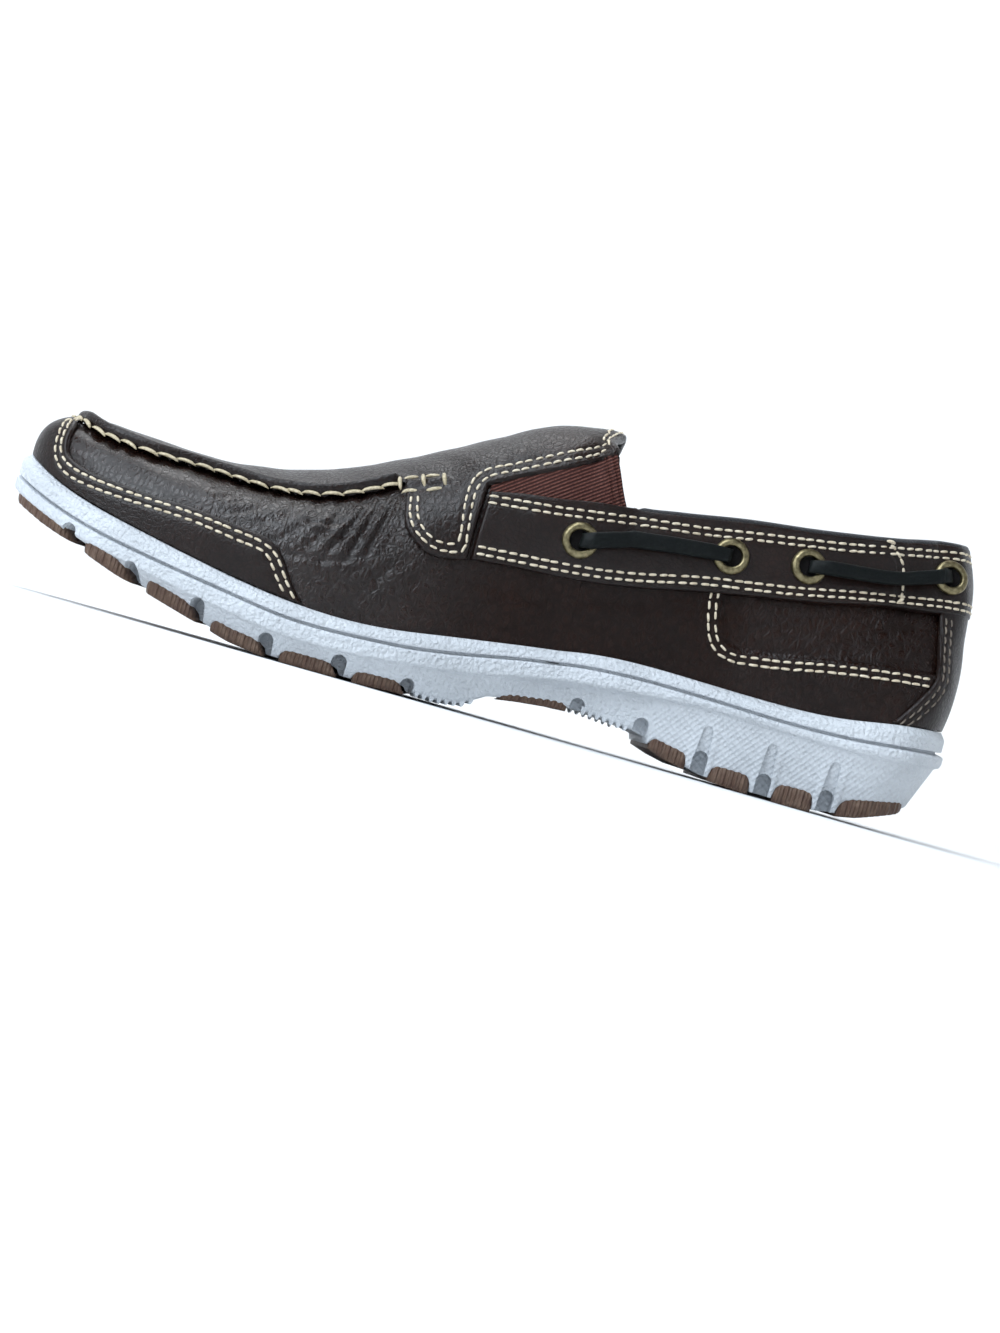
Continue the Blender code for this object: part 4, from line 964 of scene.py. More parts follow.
def make_plug():
    tip_q = columns_between(TONGUE_CORNER, TIP, step=0.9)
    tab_q = columns_between(TAB_REAR, TAB_FRONT, step=0.5)
    tip_q = np.unique(np.concatenate([tip_q[(tip_q < TAB_REAR) | (tip_q > TAB_FRONT)], tab_q]))
    points, faces, grids = [], [], []
    for side in (INNER, OUTER):
        q = tip_q * side
        start = up_at(q, TONGUE_EDGE.height(q))
        grids.append((*sheet(q, start, np.ones(len(q)), spread(PLUG_REACH, 0.9)), side))
        q = tab_q * side
        high = up_at(q, TONGUE_EDGE.height(q))
        low = np.minimum(up_at(q, TAB_LOW.height(q)), high)
        grids.append((*sheet(q, low, high, spread(TAB_REACH, 0.6)), side))
    outline = plug_outline()
    seam = np.concatenate([TONGUE_EDGE.points(side)[TONGUE_EDGE.q > RIDGE_START]
                           for side in (INNER, OUTER)])
    sewn = both_sides(TONGUE_SEAMS + TAB_SEAMS)
    sewn += [tip_row(*row, side)[0] for row in TIP_ROWS for side in (INNER, OUTER)]
    rolls = np.concatenate([thicken(BOX_ROLL.points(side)) for side in (INNER, OUTER)])
    bars = np.concatenate([on_skin(q * side, up_at(q * side, z))[None]
                           for q, z in ((place_at(x, z), z) for x, z in BOX_BARS)
                           for side in (INNER, OUTER)])
    for Q, U, side in grids:
        base = on_skin(Q, U)
        flat = base.reshape(-1, 3)
        gap = distance_to(flat, outline)[0]
        off = cut_edge(gap, STAND + CUT + 0.1, 0.9)
        to_roll = distance_to(flat, rolls)[0]
        pinch = distance_to(flat, bars)[0]
        off += 1.5 * np.exp(-(to_roll / 1.5) ** 2) * (1 - 0.55 * np.exp(-(pinch / 1.2) ** 2))
        off += pressed(flat, sewn) + soft_waves(flat, 15, 0.14)
        to_seam = distance_to(flat, seam)[0]
        amount = np.clip((station(Q).ravel() - RIDGE_START) / 0.12, 0, 1)
        off += ridge_height(to_seam, amount) * np.clip(to_seam / 0.4, 0, 1)
        block = on_skin(Q, U, off.reshape(Q.shape)).reshape(-1, 3)
        order = grid_faces(*Q.shape, start=sum(len(p) for p in points))
        points.append(block)
        faces += order if side == INNER else turned(order)
    plug = mesh_object("plug_and_tongue", np.concatenate(points), faces, tongue_leather)
    weld(plug, 0.08 * MM)
    return plug


settle(make_plug(), "leather", "apron")

# the tongue's tip is turned over its lining
half = np.linspace(TONGUE_CORNER - 0.02, TONGUE, 130)
settle(edge_roll("tongue_tip_fold", np.concatenate([half, -half[-2::-1]]),
                 STAND + CUT + 0.05, -1.2, tongue_leather), "leather")

# ---- Seams ------------------------------------------------------------------------
# Waxed cream thread. Machine stitches stand in double rows along the cut edges; the
# plug is sewn by hand to the vamp with one row of long slanted stitches.
STITCH_RINGS = np.array((-0.5, -0.44, -0.3, -0.1, 0.1, 0.3, 0.44, 0.5))
STITCH_SIDES = 6
chance = np.random.default_rng(7)       # no two stitches lie quite alike


def mottled(name, colour, roughness, grain, detail, *stops, relief=0.0, **sockets):
    """A finish that wanders between colours with the grain of a fine noise."""
    material, nodes, links, principled = shader(name, colour, roughness, **sockets)
    noise = texture(nodes, links, "ShaderNodeTexNoise", grain, Detail=detail)
    links.new(ramp(nodes, links, noise.outputs["Fac"], *stops),
              principled.inputs["Base Color"])
    if relief:
        links.new(bump(nodes, links, noise.outputs["Fac"], relief),
                  principled.inputs["Normal"])
    return material


cream_thread = mottled("cream_thread", (0.66, 0.615, 0.53), 0.6, 900, 3.0,
                       (0.3, (0.50, 0.41, 0.28)), (0.7, (0.78, 0.70, 0.55)), relief=0.15)


def stitch_shape(length, width, height, blunt):
    """One stitch along x: it comes out of the leather, lies flat and dives back in."""
    along = STITCH_RINGS * 2
    half = np.sqrt(np.maximum(1 - np.abs(along) ** blunt, 0.03)) / 2
    middle = -np.abs(along) ** 3 * height * 0.9
    turns = np.arange(STITCH_SIDES) * np.pi * 2 / STITCH_SIDES
    shape = np.zeros((len(along), STITCH_SIDES, 3))
    shape[..., 0] = (STITCH_RINGS * length)[:, None]
    shape[..., 1] = (half * width)[:, None] * np.cos(turns)
    shape[..., 2] = middle[:, None] + (half * height)[:, None] * np.sin(turns)
    return shape.reshape(-1, 3)


def tube_faces(rings, around, caps=True):
    """Faces of a tube of rings, each with the same number of points around."""
    faces = [[i * around + j, (i + 1) * around + j, (i + 1) * around + (j + 1) % around,
              i * around + (j + 1) % around] for i in range(rings - 1) for j in range(around)]
    if caps:
        faces += [list(range(around)),
                  [(rings - 1) * around + j for j in reversed(range(around))]]
    return faces


def sew(name, paths, pitch=3.3, length=3.15, width=0.82, height=0.8, slant=0.05, blunt=3.6,
        material=cream_thread):
    """Rows of stitches along paths of (points, normals), joined in one mesh."""
    shape = stitch_shape(length, width, height, blunt)
    faces = tube_faces(len(STITCH_RINGS), STITCH_SIDES, caps=False)
    points, all_faces = [], []
    for path, normals in paths:
        run = np.concatenate([[0], np.cumsum(np.linalg.norm(np.diff(path, axis=0), axis=1))])
        count = max(1, round(run[-1] / pitch))
        for k in range(count):
            at = (k + 0.5) * run[-1] / count + chance.normal(0, 0.06 * pitch)
            near, far, middle = (np.array([np.interp(at + d, run, path[:, c])
                                           for c in range(3)]) for d in (-0.6, 0.6, 0))
            out = np.array([np.interp(at, run, normals[:, c]) for c in range(3)])
            ahead = far - near
            ahead -= out * ahead.dot(out)
            ahead /= np.linalg.norm(ahead)
            across = np.cross(out, ahead)
            turn = slant + chance.normal(0, 0.05)
            ahead, across = (ahead * math.cos(turn) + across * math.sin(turn),
                             across * math.cos(turn) - ahead * math.sin(turn))
            size = chance.normal(1, 0.05)
            block = middle + (shape[:, :1] * ahead * size + shape[:, 1:2] * across
                              + shape[:, 2:] * out)
            start = len(points) * len(shape)
            points.append(block)
            all_faces += [[start + i for i in face] for face in faces]
    return mesh_object(name, np.concatenate(points), all_faces, material)


def seam_path(line, side, off):
    """Points of a seam at a height over the skin, and the normals there."""
    q = line.q * side
    up = up_at(q, line.z)
    return on_skin(q, up, off), on_skin(q, up, off + 1) - on_skin(q, up, off)


def seam_paths(lines, off):
    return [seam_path(line, side, off) for line in lines for side in (INNER, OUTER)]


TOP = STAND + CUT - 0.1   # where a stitch lies on an overlay
for name, lines, off in (("mudguard_stitches", GUARD_SEAMS, TOP),
                         ("band_stitches", BAND_SEAMS, TOP),
                         ("tongue_stitches", TONGUE_SEAMS, TOP + 0.05),
                         ("tab_stitches", TAB_SEAMS, TOP + 0.05)):
    settle(sew(name, seam_paths(lines, off)), "leather")

PANEL_SEAMS = [Line(((82.6, 57.6), (82, 52), (80.7, 47), (78.3, 42.4), (73.2, 40),
                     (68, 40.4), (62.4, 41.1), (49.8, 43.5), (38.8, 45.5), (26, 47.4),
                     (13.5, 49))),
               Line(((84.7, 57.1), (84.1, 51.6), (82.7, 46), (79.7, 40.6), (73.5, 37.9),
                     (68, 38.2), (62, 39), (49.5, 41.4), (38.5, 43.4), (26, 45.2),
                     (13.2, 46.8)))]
settle(sew("panel_stitches", seam_paths(PANEL_SEAMS, 0.35)), "leather")

# the two rows across the tongue's tip
tip_rows = [tip_row(*row, side, TOP + 0.35) for row in TIP_ROWS for side in (INNER, OUTER)]
settle(sew("tongue_tip_stitches", tip_rows), "leather")

# thinner brown thread on the backstay
brown_thread = mottled("brown_thread", (0.14, 0.11, 0.085), 0.6, 900, 3.0,
                       (0.3, (0.08, 0.062, 0.05)), (0.7, (0.21, 0.17, 0.13)))
settle(sew("backstay_stitches", seam_paths(BACKSTAY_SEAMS, 1.2), length=2.9, width=0.6,
           height=0.7, slant=0.12, material=brown_thread), "leather")

# the hand-sewn moc seam: thick waxed thread, each stitch laid aslant over the seam
moc_thread = mottled("waxed_moc_thread", (0.50, 0.43, 0.29), 0.5, 1100, 3.0,
                     (0.3, (0.33, 0.27, 0.16)), (0.7, (0.62, 0.54, 0.38)), relief=0.2)
for side_name, side in FOOT_SIDES:
    chosen = TONGUE_EDGE.q > RIDGE_START
    q = TONGUE_EDGE.q[chosen] * side
    up = up_at(q, TONGUE_EDGE.z[chosen] - 0.3)
    path = on_skin(q, up, 1.9)
    settle(sew(f"moc_stitches_{side_name}", [(path, on_skin(q, up, 2.9) - path)], pitch=6.0,
               length=6.9, width=1.7, height=0.95, slant=-0.2 * side, blunt=3.0,
               material=moc_thread), "leather")

# the box of thick stitches that ties the tab's front over the end of the moc seam
BOX_TOP = ((184.4, 62.9), (177.5, 65.6), (171.4, 67.4))
BOX_LOW = ((183.2, 58.9), (176.2, 61.1), (170.3, 63.5))
box_rows, box_bars = [], []
for side in (INNER, OUTER):
    box_rows += [seam_path(Line(row, smooth=False), side, TOP + 0.1)
                 for row in (BOX_TOP, BOX_LOW)]
    box_bars += [seam_path(Line(bar, smooth=False), side, TOP + 1.5)
                 for bar in zip(BOX_TOP, BOX_LOW)]
settle(sew("box_rows", box_rows, pitch=6.8, length=6.4, width=1.25, height=1.2, blunt=3,
           material=moc_thread), "leather")
settle(sew("box_bars", box_bars, pitch=6.8, length=5.4, width=1.35, height=1.7, blunt=4,
           material=moc_thread), "leather")

# the bartacked joint of the collar band, with its loose thread ends
bartack = Line([(x - 2.2, z) for x, z in zip(BAND_JOINT.x[::12], BAND_JOINT.z[::12])])
settle(sew("joint_bartack", seam_paths([bartack], TOP + 0.1), pitch=2.9, length=3.1,
           width=0.95, height=1.0, blunt=3), "leather")
knots = [Line(ends, smooth=False) for ends in (((36.4, 87.0), (33.2, 86.6)),
                                               ((28.3, 69.0), (26.9, 70.4)))]
settle(sew("joint_knots", seam_paths(knots, TOP + 0.5), pitch=4, length=3.2, width=1.1,
           height=1.2, blunt=2.5), "leather")

# ---- Eyelets ------------------------------------------------------------------------
# Rolled rings of antique brass, four on each side, clenched through the collar band
# to guard the holes that the lace goes in and out of.
EYELETS = {"front": (127.4, 59.8), "middle": (82.0, 68.0), "rear": (58.2, 71.6),
           "heel": (12.9, 81.7)}
EYELET_OUTER, EYELET_HOLE = 5.6, 3.2
brass = mottled("antique_brass", (0.20, 0.17, 0.095), 0.40, 700, 5.0,
                (0.30, (0.10, 0.082, 0.045)), (0.50, (0.20, 0.17, 0.095)),
                (0.75, (0.34, 0.29, 0.17)), relief=0.08, metallic=1.0)


def eyelet_place(name, side):
    """Its middle on the skin, the way out of the shoe there, and that way's turn."""
    x, z = EYELETS[name]
    q = place_at(x, z) * side
    up = float(up_at(q, z))
    middle = Vector(on_skin(q, up))
    out = Vector(on_skin(q, up, 1.0) - on_skin(q, up))
    return middle, out, out.to_track_quat("Z", "Y").to_matrix()


def make_eyelet(name, middle, turn):
    """A ring turned from its profile of (radius, height over the skin)."""
    base = STAND + CUT
    profile = [(EYELET_HOLE, base - 1.4), (EYELET_HOLE, base + 0.9), (3.45, base + 1.45),
               (4.0, base + 1.7), (4.6, base + 1.6), (5.2, base + 1.2),
               (EYELET_OUTER, base + 0.55), (EYELET_OUTER - 0.1, base - 0.1)]
    turns = 40
    points = []
    for i in range(turns):
        angle = 2 * math.pi * i / turns
        for radius, height in profile:
            points.append(middle + turn @ Vector((radius * math.cos(angle),
                                                  radius * math.sin(angle), height)))
    return mesh_object(name, points, turned(grid_faces(turns, len(profile), wrap=True)), brass)


for side_name, side in FOOT_SIDES:
    for place in EYELETS:
        middle, _, turn = eyelet_place(place, side)
        settle(make_eyelet(f"brass_ring_{side_name}_{place}", middle, turn), "brass",
               f"eyelet_{side_name}_{place}")

# painted shadow: dark discs laid in the eyelet holes stand in for the shade inside them
painted_hole_shadow = mottled("hole_shadow", (0.006, 0.005, 0.005), 0.9, 1500, 2.0,
                     (0.3, (0.004, 0.0035, 0.0035)), (0.7, (0.009, 0.008, 0.008)),
                     Specular_IOR_Level=0.1)


def shape_object(name, shape, *materials):
    """An object from a bmesh in the frame's metres, which is used up."""
    mesh = bpy.data.meshes.new(name)
    shape.to_mesh(mesh)
    shape.free()
    for material in materials:
        mesh.materials.append(material)
    item = bpy.data.objects.new(name, mesh)
    bpy.context.scene.collection.objects.link(item)
    return item


def make_hole_shadows():
    shape = bmesh.new()
    for side in (INNER, OUTER):
        for place in EYELETS:
            middle, out, turn = eyelet_place(place, side)
            centre = middle + out * (STAND + CUT + 0.12)
            at = Matrix.Translation((centre - Vector(ORIGIN)) * MM) @ turn.to_4x4()
            # a dark disc in each hole: painted shadow
            bmesh.ops.create_circle(shape, cap_ends=True, segments=24,
                                    radius=(EYELET_HOLE + 0.3) * MM, matrix=at)
    return shape_object("eyelet_hole_shadows", shape, painted_hole_shadow)


settle(make_hole_shadows(), "leather")

# ---- Lace ---------------------------------------------------------------------------
# A flat near-black leather lace. It shows outside the band between the front and
# middle eyelets and between the rear and heel ones, and dives into them.
LACE_WIDTH, LACE_THICK = 4.9, 1.3
lace_leather = mottled("lace_leather", (0.0025, 0.0035, 0.0035), 0.45, 1300, 3.0,
                       (0.3, (0.003, 0.004, 0.004)), (0.75, (0.006, 0.008, 0.008)),
                       relief=0.08, Specular_IOR_Level=0.12)


def outward(item):
    """Turns all faces of a closed piece outward."""
    shape = bmesh.new()
    shape.from_mesh(item.data)
    bmesh.ops.recalc_face_normals(shape, faces=shape.faces)
    shape.to_mesh(item.data)
    shape.free()
    return item


def make_lace(name, start, end, side):
    first, last = (place_at(*EYELETS[name]) * side for name in (start, end))
    z_first, z_last = EYELETS[start][1], EYELETS[end][1]
    steps = np.linspace(0, 1, 60)
    q = first + (last - first) * steps
    z = z_first + (z_last - z_first) * steps - 0.4 * np.sin(np.pi * steps)
    length = np.linalg.norm(on_skin(first, up_at(first, z_first))
                            - on_skin(last, up_at(last, z_last)))
    from_end = np.minimum(steps, 1 - steps) * length
    rise = np.clip(from_end / 3.6, 0, 1)
    low = STAND + CUT + 0.2 + 2.1 * rise ** 0.7
    width = LACE_WIDTH * (0.86 + 0.14 * rise)
    section = [(-0.5, 0.25), (-0.46, 0.8), (-0.36, 1.0), (0, 1.06), (0.36, 1.0), (0.46, 0.8),
               (0.5, 0.25), (0.42, 0.0), (-0.42, 0.0)]
    points = np.stack([on_skin(q, up_at(q, z + across * width), low + high * LACE_THICK)
                       for across, high in section], axis=1)
    return outward(mesh_object(name, points.reshape(-1, 3), tube_faces(len(q), len(section)),
                               lace_leather))


for side_name, side in FOOT_SIDES:
    for number, (start, end) in enumerate((("front", "middle"), ("rear", "heel")), 1):
        settle(make_lace(f"lace_strap_{side_name}_{number}", start, end, side),
               "lace_leather", f"lace_{side_name}_{number}")

# ---- Insole -------------------------------------------------------------------------
# A cushioned footbed of soft foam covered in black textile, dished under the heel and
# laid inside the upper on the sole's floor.
RABBET = 3.6            # how deep the upper stands in the sole's rim
FOOTBED = 4.0           # thickness of the footbed
INSIDE = 2.7            # its edge, in from the featherline


def foot_point(q):
    """The featherline at places q."""
    return on_skin(q, 0.0)


def plan_normal(q):
    """Level directions out of the shoe, square to the featherline."""
    ahead = foot_point(np.asarray(q) + 0.03) - foot_point(np.asarray(q) - 0.03)
    out = np.stack([-ahead[..., 1], ahead[..., 0], 0 * ahead[..., 0]], axis=-1)
    return out / np.linalg.norm(out, axis=-1, keepdims=True)


def beside_foot(q, out, z):
    """Points out from the featherline at a height."""
    point = foot_point(q) + plan_normal(q) * np.asarray(out, float)[..., None]
    point[..., 2] = z
    return point


def make_insole():
    half = np.linspace(0.05, TIP - 0.05, 170)
    floor = foot_point(half)[:, 2] - RABBET + 0.4 + FOOTBED
    inset = np.full(len(half), -INSIDE)
    inner, outer = beside_foot(half, inset, floor), beside_foot(-half, inset, floor)
    across = np.linspace(0, 1, 34)
    points = inner[:, None] + (outer - inner)[:, None] * across[None, :, None]
    dish = 4 * across * (1 - across)
    deep = np.interp(inner[:, 0], (0, 30, 90, 140, 300), (1.8, 1.8, 0.9, 0.5, 0.4))
    points[..., 2] -= deep[:, None] * dish[None, :] - 0.3
    return mesh_object("footbed", points.reshape(-1, 3), grid_faces(len(half), len(across)),
                       lining_cloth)


settle(make_insole(), "lining", "insole")

# ---- Sole ---------------------------------------------------------------------------
# Injected white foam: a pebbled band round the foot, a thin groove, a second lip, and
# a wall of lugs parted by round-topped notches, grooved on the heel. Each lug is
# arched underneath to hold its tread pad.
SIDES = np.array((
    # x, out, drop, lip, stand, tuck, foam, tread, under
    (0, 3.0, 6.4, 4.4, 0.9, 5.6, 11.5, 9.0, 0), (12, 3.1, 6.6, 4.2, 0.9, 5.8, 9.0, 5.6, 0),
    (24, 3.2, 6.4, 3.8, 0.8, 6.0, 7.0, 2.2, 0), (36, 3.4, 5.4, 3.2, 0.8, 6.2, 5.4, 0, 0),
    (56, 4.2, 4.6, 2.5, 0.7, 6.0, 5.0, 0, 0), (72, 4.2, 4.3, 2.6, 0.7, 5.6, 5.2, 0.8, 0),
    (84, 3.4, 4.3, 3.2, 0.5, 5.0, 7.0, 3.4, 0.3), (96, 2.6, 4.3, 4.2, 0.3, 4.6, 9.6, 7.4, 2.4),
    (110, 2.0, 4.3, 4.8, 0.2, 4.4, 10.8, 9.4, 3.4),
    (121, 2.0, 4.0, 5.0, 0.2, 4.0, 10.6, 9.2, 3.4),
    (132, 2.1, 4.0, 5.2, 0.2, 3.6, 9.0, 7.9, 2.2), (141, 2.3, 4.3, 5.4, 0.2, 3.4, 7.2, 6.4, 0.4),
    (148, 2.4, 4.6, 5.4, 0.2, 3.4, 3.0, 2.0, 0), (156, 2.6, 4.8, 5.2, 0.2, 3.4, 1.9, 1.0, 0),
    (168, 3.0, 4.6, 4.8, 0.2, 3.6, 2.3, 0.6, 0), (180, 3.6, 4.1, 5.0, 0.2, 4.0, 2.0, 0, 0),
    (207.5, 3.8, 4.7, 5.0, 0.2, 4.2, 2.0, 0, 0), (220, 4.0, 4.6, 5.0, 0.2, 4.2, 3.6, 1.6, 0),
    (238, 3.6, 5.2, 4.7, 0.2, 4.0, 8.6, 6.4, 0), (256, 3.6, 5.9, 4.2, 0.2, 4.0, 13.4, 11.2, 0),
    (270, 4.2, 6.1, 4.0, 0.2, 4.4, 18.0, 16.0, 0), (284, 4.6, 6.2, 4.0, 0.2, 5.0, 22.6, 20.8, 0),
    (294, 4.2, 6.8, 4.0, 0.2, 5.6, 26.8, 25.2, 0), (300, 3.6, 7.0, 4.0, 0.2, 6.0, 29.0, 27.4, 0)))
SIDE_NAMES = "x out drop lip stand tuck foam tread under".split()
# notches between the lugs: x and the height of the ceiling
NOTCHES = ((34.7, 8.1), (53.9, 7.7), (73.8, 9.2), (93.6, 14.0), (114, 14.4), (165.2, 6.0),
           (186.5, 7.2), (208.8, 7.5), (231, 12.0), (253, 16.8), (273.8, 23.0))
NOTCH_WIDTH, NOTCH_DEPTH, GROOVE_TOP = 4.6, 5.5, 17.0
WAIST = (90.6, 163.4)   # x between which there are no lugs
HALF_ROUND = 560        # points round each half of the sole
# the tread pads: x from and to, and how far the lug is arched over them
PADS = ((6, 30.6, 0.3), (38.2, 50.4, 0.2), (57.6, 70.2, 0.2), (77.6, 89.8, 0.3),
        (117, 137, 0.2), (165.4, 181.6, 1.2), (186.2, 204.0, 1.4), (208.6, 226.2, 1.4),
        (231, 248.2, 1.5), (253.2, 269.4, 1.5), (274.0, 296.4, 1.4))


def sole_side(name, x):
    """One column of SIDES, read at x."""
    column = SIDE_NAMES.index(name)
    if name in ("foam", "tread", "under"):
        return np.interp(x, SIDES[:, 0], SIDES[:, column])
    return spline(SIDES[:, 0], SIDES[:, column])(np.clip(x, *SIDES[[0, -1], 0]))


def lug_base(x):
    """Height of the foam's lower edge: arched over each pad, low between them."""
    base, tread = sole_side("foam", x), sole_side("tread", x)
    arched = np.minimum(base, tread + 1.1)
    for first, last, rise in PADS:
        share = np.clip(np.abs((x - (first + last) / 2) / ((last - first) / 2)), 0, 1)
        inside = (1 - share ** 5) ** 0.35
        arched = np.maximum(arched, np.where(share < 1, arched + (base + rise - arched)
                                             * inside, arched))
    return np.where((x > WAIST[0]) & (x < WAIST[1]), base, arched)


def sole_profile(q):
    """Outs and heights of the sole's side, from inside the rim down to the lugs."""
    foot = foot_point(q)
    v = {name: sole_side(name, foot[:, 0]) for name in SIDE_NAMES[1:]}
    z, out = foot[:, 2], v["out"]
    groove = z - v["drop"]
    lip = groove - v["lip"]
    wall, base = out - 1.0 - v["under"], lug_base(foot[:, 0])
    edge = out - v["tuck"] - v["under"] * 0.4
    lip_out = out + v["stand"]
    # the wall leans in to its lower edge, whatever the height of that edge
    low = np.minimum(v["foam"] + 0.8, lip - 2.0)
    lean = (wall - edge) / np.maximum(lip - 0.8 - low, 1)
    foot_out = edge + lean * np.clip(base - v["foam"], -1.5, 2)
    rows = ((0 * z - 2.0, z - RABBET), (0 * z + 0.1, z - 0.4), (0 * z + 1.2, z + 0.2),
            (out - 0.7, z - 1.3), (out - 0.1, z - 2.2), (out, groove + 1.0),
            (out - 0.15, groove + 0.45), (out - 1.9, groove + 0.35),
            (out - 1.9, groove - 0.35), (out - 0.2, groove - 0.55),
            (lip_out, groove - 1.1), (lip_out, lip + 1.0), (out + v["stand"] * 0.5, lip),
            (wall, lip - 0.8 - v["under"] * 0.3), (foot_out, base + 0.7),
            (foot_out - 0.9, base))
    return np.stack([r[0] for r in rows], axis=1), np.stack([r[1] for r in rows], axis=1)


def rounded_rows(outs, tops):
    """The profile with its corners eased and its long wall divided."""
    parts = (1, 1, 2, 2, 3, 1, 1, 1, 1, 1, 3, 1, 2, 15, 1)
    rows = []
    for k, count in enumerate(parts):
        for i in range(count):
            share = i / count
            rows.append((outs[:, k] * (1 - share) + outs[:, k + 1] * share,
                         tops[:, k] * (1 - share) + tops[:, k + 1] * share))
    rows.append((outs[:, -1], tops[:, -1]))
    rows = np.array(rows)                     # row, (out, height), column
    eased = [rows[0]]
    for a, b in zip(rows[:-1], rows[1:]):
        eased += [a * 0.78 + b * 0.22, a * 0.22 + b * 0.78]
    eased.append(rows[-1])
    rows = np.array(eased)
    return rows[:, 0].T, rows[:, 1].T


foam, nodes, links, principled = shader("white_foam", (0.585, 0.615, 0.65), 0.55,
                                        Specular_IOR_Level=0.35, Subsurface_Weight=0.04,
                                        Subsurface_Radius=(0.002, 0.002, 0.002))
coordinates = nodes.new("ShaderNodeTexCoord").outputs["Object"]
place = nodes.new("ShaderNodeSeparateXYZ")
links.new(coordinates, place.inputs[0])
# the heel's wall is stippled with small round dimples
heel = times(nodes, links,
             between(nodes, links, place.outputs["X"], (-0.060, 1.0), (-0.057, 0.0)),
             between(nodes, links, place.outputs["Z"], (0.0205, 1.0), (0.0215, 0.0)))
slant = nodes.new("ShaderNodeMapping")
slant.inputs["Rotation"].default_value = (0, math.radians(38), 0)
links.new(coordinates, slant.inputs["Vector"])
cells = texture(nodes, links, "ShaderNodeTexVoronoi", 680, slant.outputs[0], Randomness=0.1)
grit = texture(nodes, links, "ShaderNodeTexNoise", 800, coordinates, Detail=1.5)
dust = texture(nodes, links, "ShaderNodeTexNoise", 55, coordinates, Detail=6.0)
links.new(ramp(nodes, links, dust.outputs["Fac"], (0.25, (0.50, 0.525, 0.555)),
               (0.5, (0.585, 0.615, 0.65)), (0.8, (0.64, 0.67, 0.705))),
          principled.inputs["Base Color"])
dimples = bump(nodes, links, times(nodes, links, cells.outputs["Distance"], heel), 0.7)
rough = times(nodes, links, grit.outputs["Fac"],
              between(nodes, links, heel, (0.0, 1.0), (1.0, 0.2)))
links.new(bump(nodes, links, rough, 1.0, dimples), principled.inputs["Normal"])


def add_prism(shape, sections):
    """A closed prism through sections that have the same number of corners."""
    rings = [[shape.verts.new((Vector(p) - Vector(ORIGIN)) * MM) for p in section]
             for section in sections]
    count = len(rings[0])
    shape.faces.new(rings[0])
    shape.faces.new(rings[-1][::-1])
    for near, far in zip(rings, rings[1:]):
        for i in range(count):
            k = (i + 1) % count
            shape.faces.new([near[k], near[i], far[i], far[k]])


def place_of_foot(x):
    """The place on the inner side whose foot is at x."""
    half = SKIN[:TIP * PER_RIB + 1, 0, 0]
    return float(np.interp(x, np.maximum.accumulate(half), np.arange(len(half)) / PER_RIB))


def beside_wall(x, side):
    """The place at x, the direction along the wall there, and the wall's profile."""
    q = place_of_foot(x) * side
    out = plan_normal(q)
    outs, tops = sole_profile(np.array([q]))
    return q, np.array((-out[1], out[0], 0)), outs[0], tops[0]


def notch_shapes(shape):
    """The arched notches between the lugs."""
    half = NOTCH_WIDTH / 2
    for x, ceiling in NOTCHES:
        for side in (INNER, OUTER):
            q, along, outs, _ = beside_wall(x, side)
            edge = outs[-2]
            outline = [(half, -6), (-half, -6)] + [
                (-half * math.cos(a), ceiling - half + half * math.sin(a))
                for a in np.linspace(0, math.pi, 11)]
            add_prism(shape, [[beside_foot(q, reach, z) + along * a * size for a, z in outline]
                              for reach, size in ((edge - NOTCH_DEPTH, 0.92),
                                                  (edge - NOTCH_DEPTH + 0.8, 0.98),
                                                  (edge - 2, 1.0), (edge + 12, 1.08))])


def groove_shapes(shape):
    """The shallow upright grooves that run on up the heel's wall from its notches."""
    for x, ceiling in NOTCHES[:3]:
        for side in (INNER, OUTER):
            q, along, outs, tops = beside_wall(x, side)
            rows = ((2.1, ceiling - 3, 1.9), (1.8, ceiling + 2, 1.5),
                    (1.45, GROOVE_TOP - 1.4, 1.2), (1.1, GROOVE_TOP - 0.5, 0.8),
                    (0.5, GROOVE_TOP, 0.3))
            sections = []
            for wide, deep in ((1.0, True), (1.25, False)):
                section = []
                for a, z, depth in rows + tuple((-a, z, d) for a, z, d in rows[::-1]):
                    reach = np.interp(z, (tops[-2], tops[-3]), (outs[-2], outs[-3]))
                    reach += -depth if deep else 4
                    section.append(beside_foot(q, reach, z) + along * a * wide)
                sections.append(section)
            add_prism(shape, sections)


def prisms(name, add_shapes, *materials):
    """One object of all the prisms that a function adds."""
    shape = bmesh.new()
    add_shapes(shape)
    bmesh.ops.recalc_face_normals(shape, faces=shape.faces)
    return shape_object(name, shape, *materials)


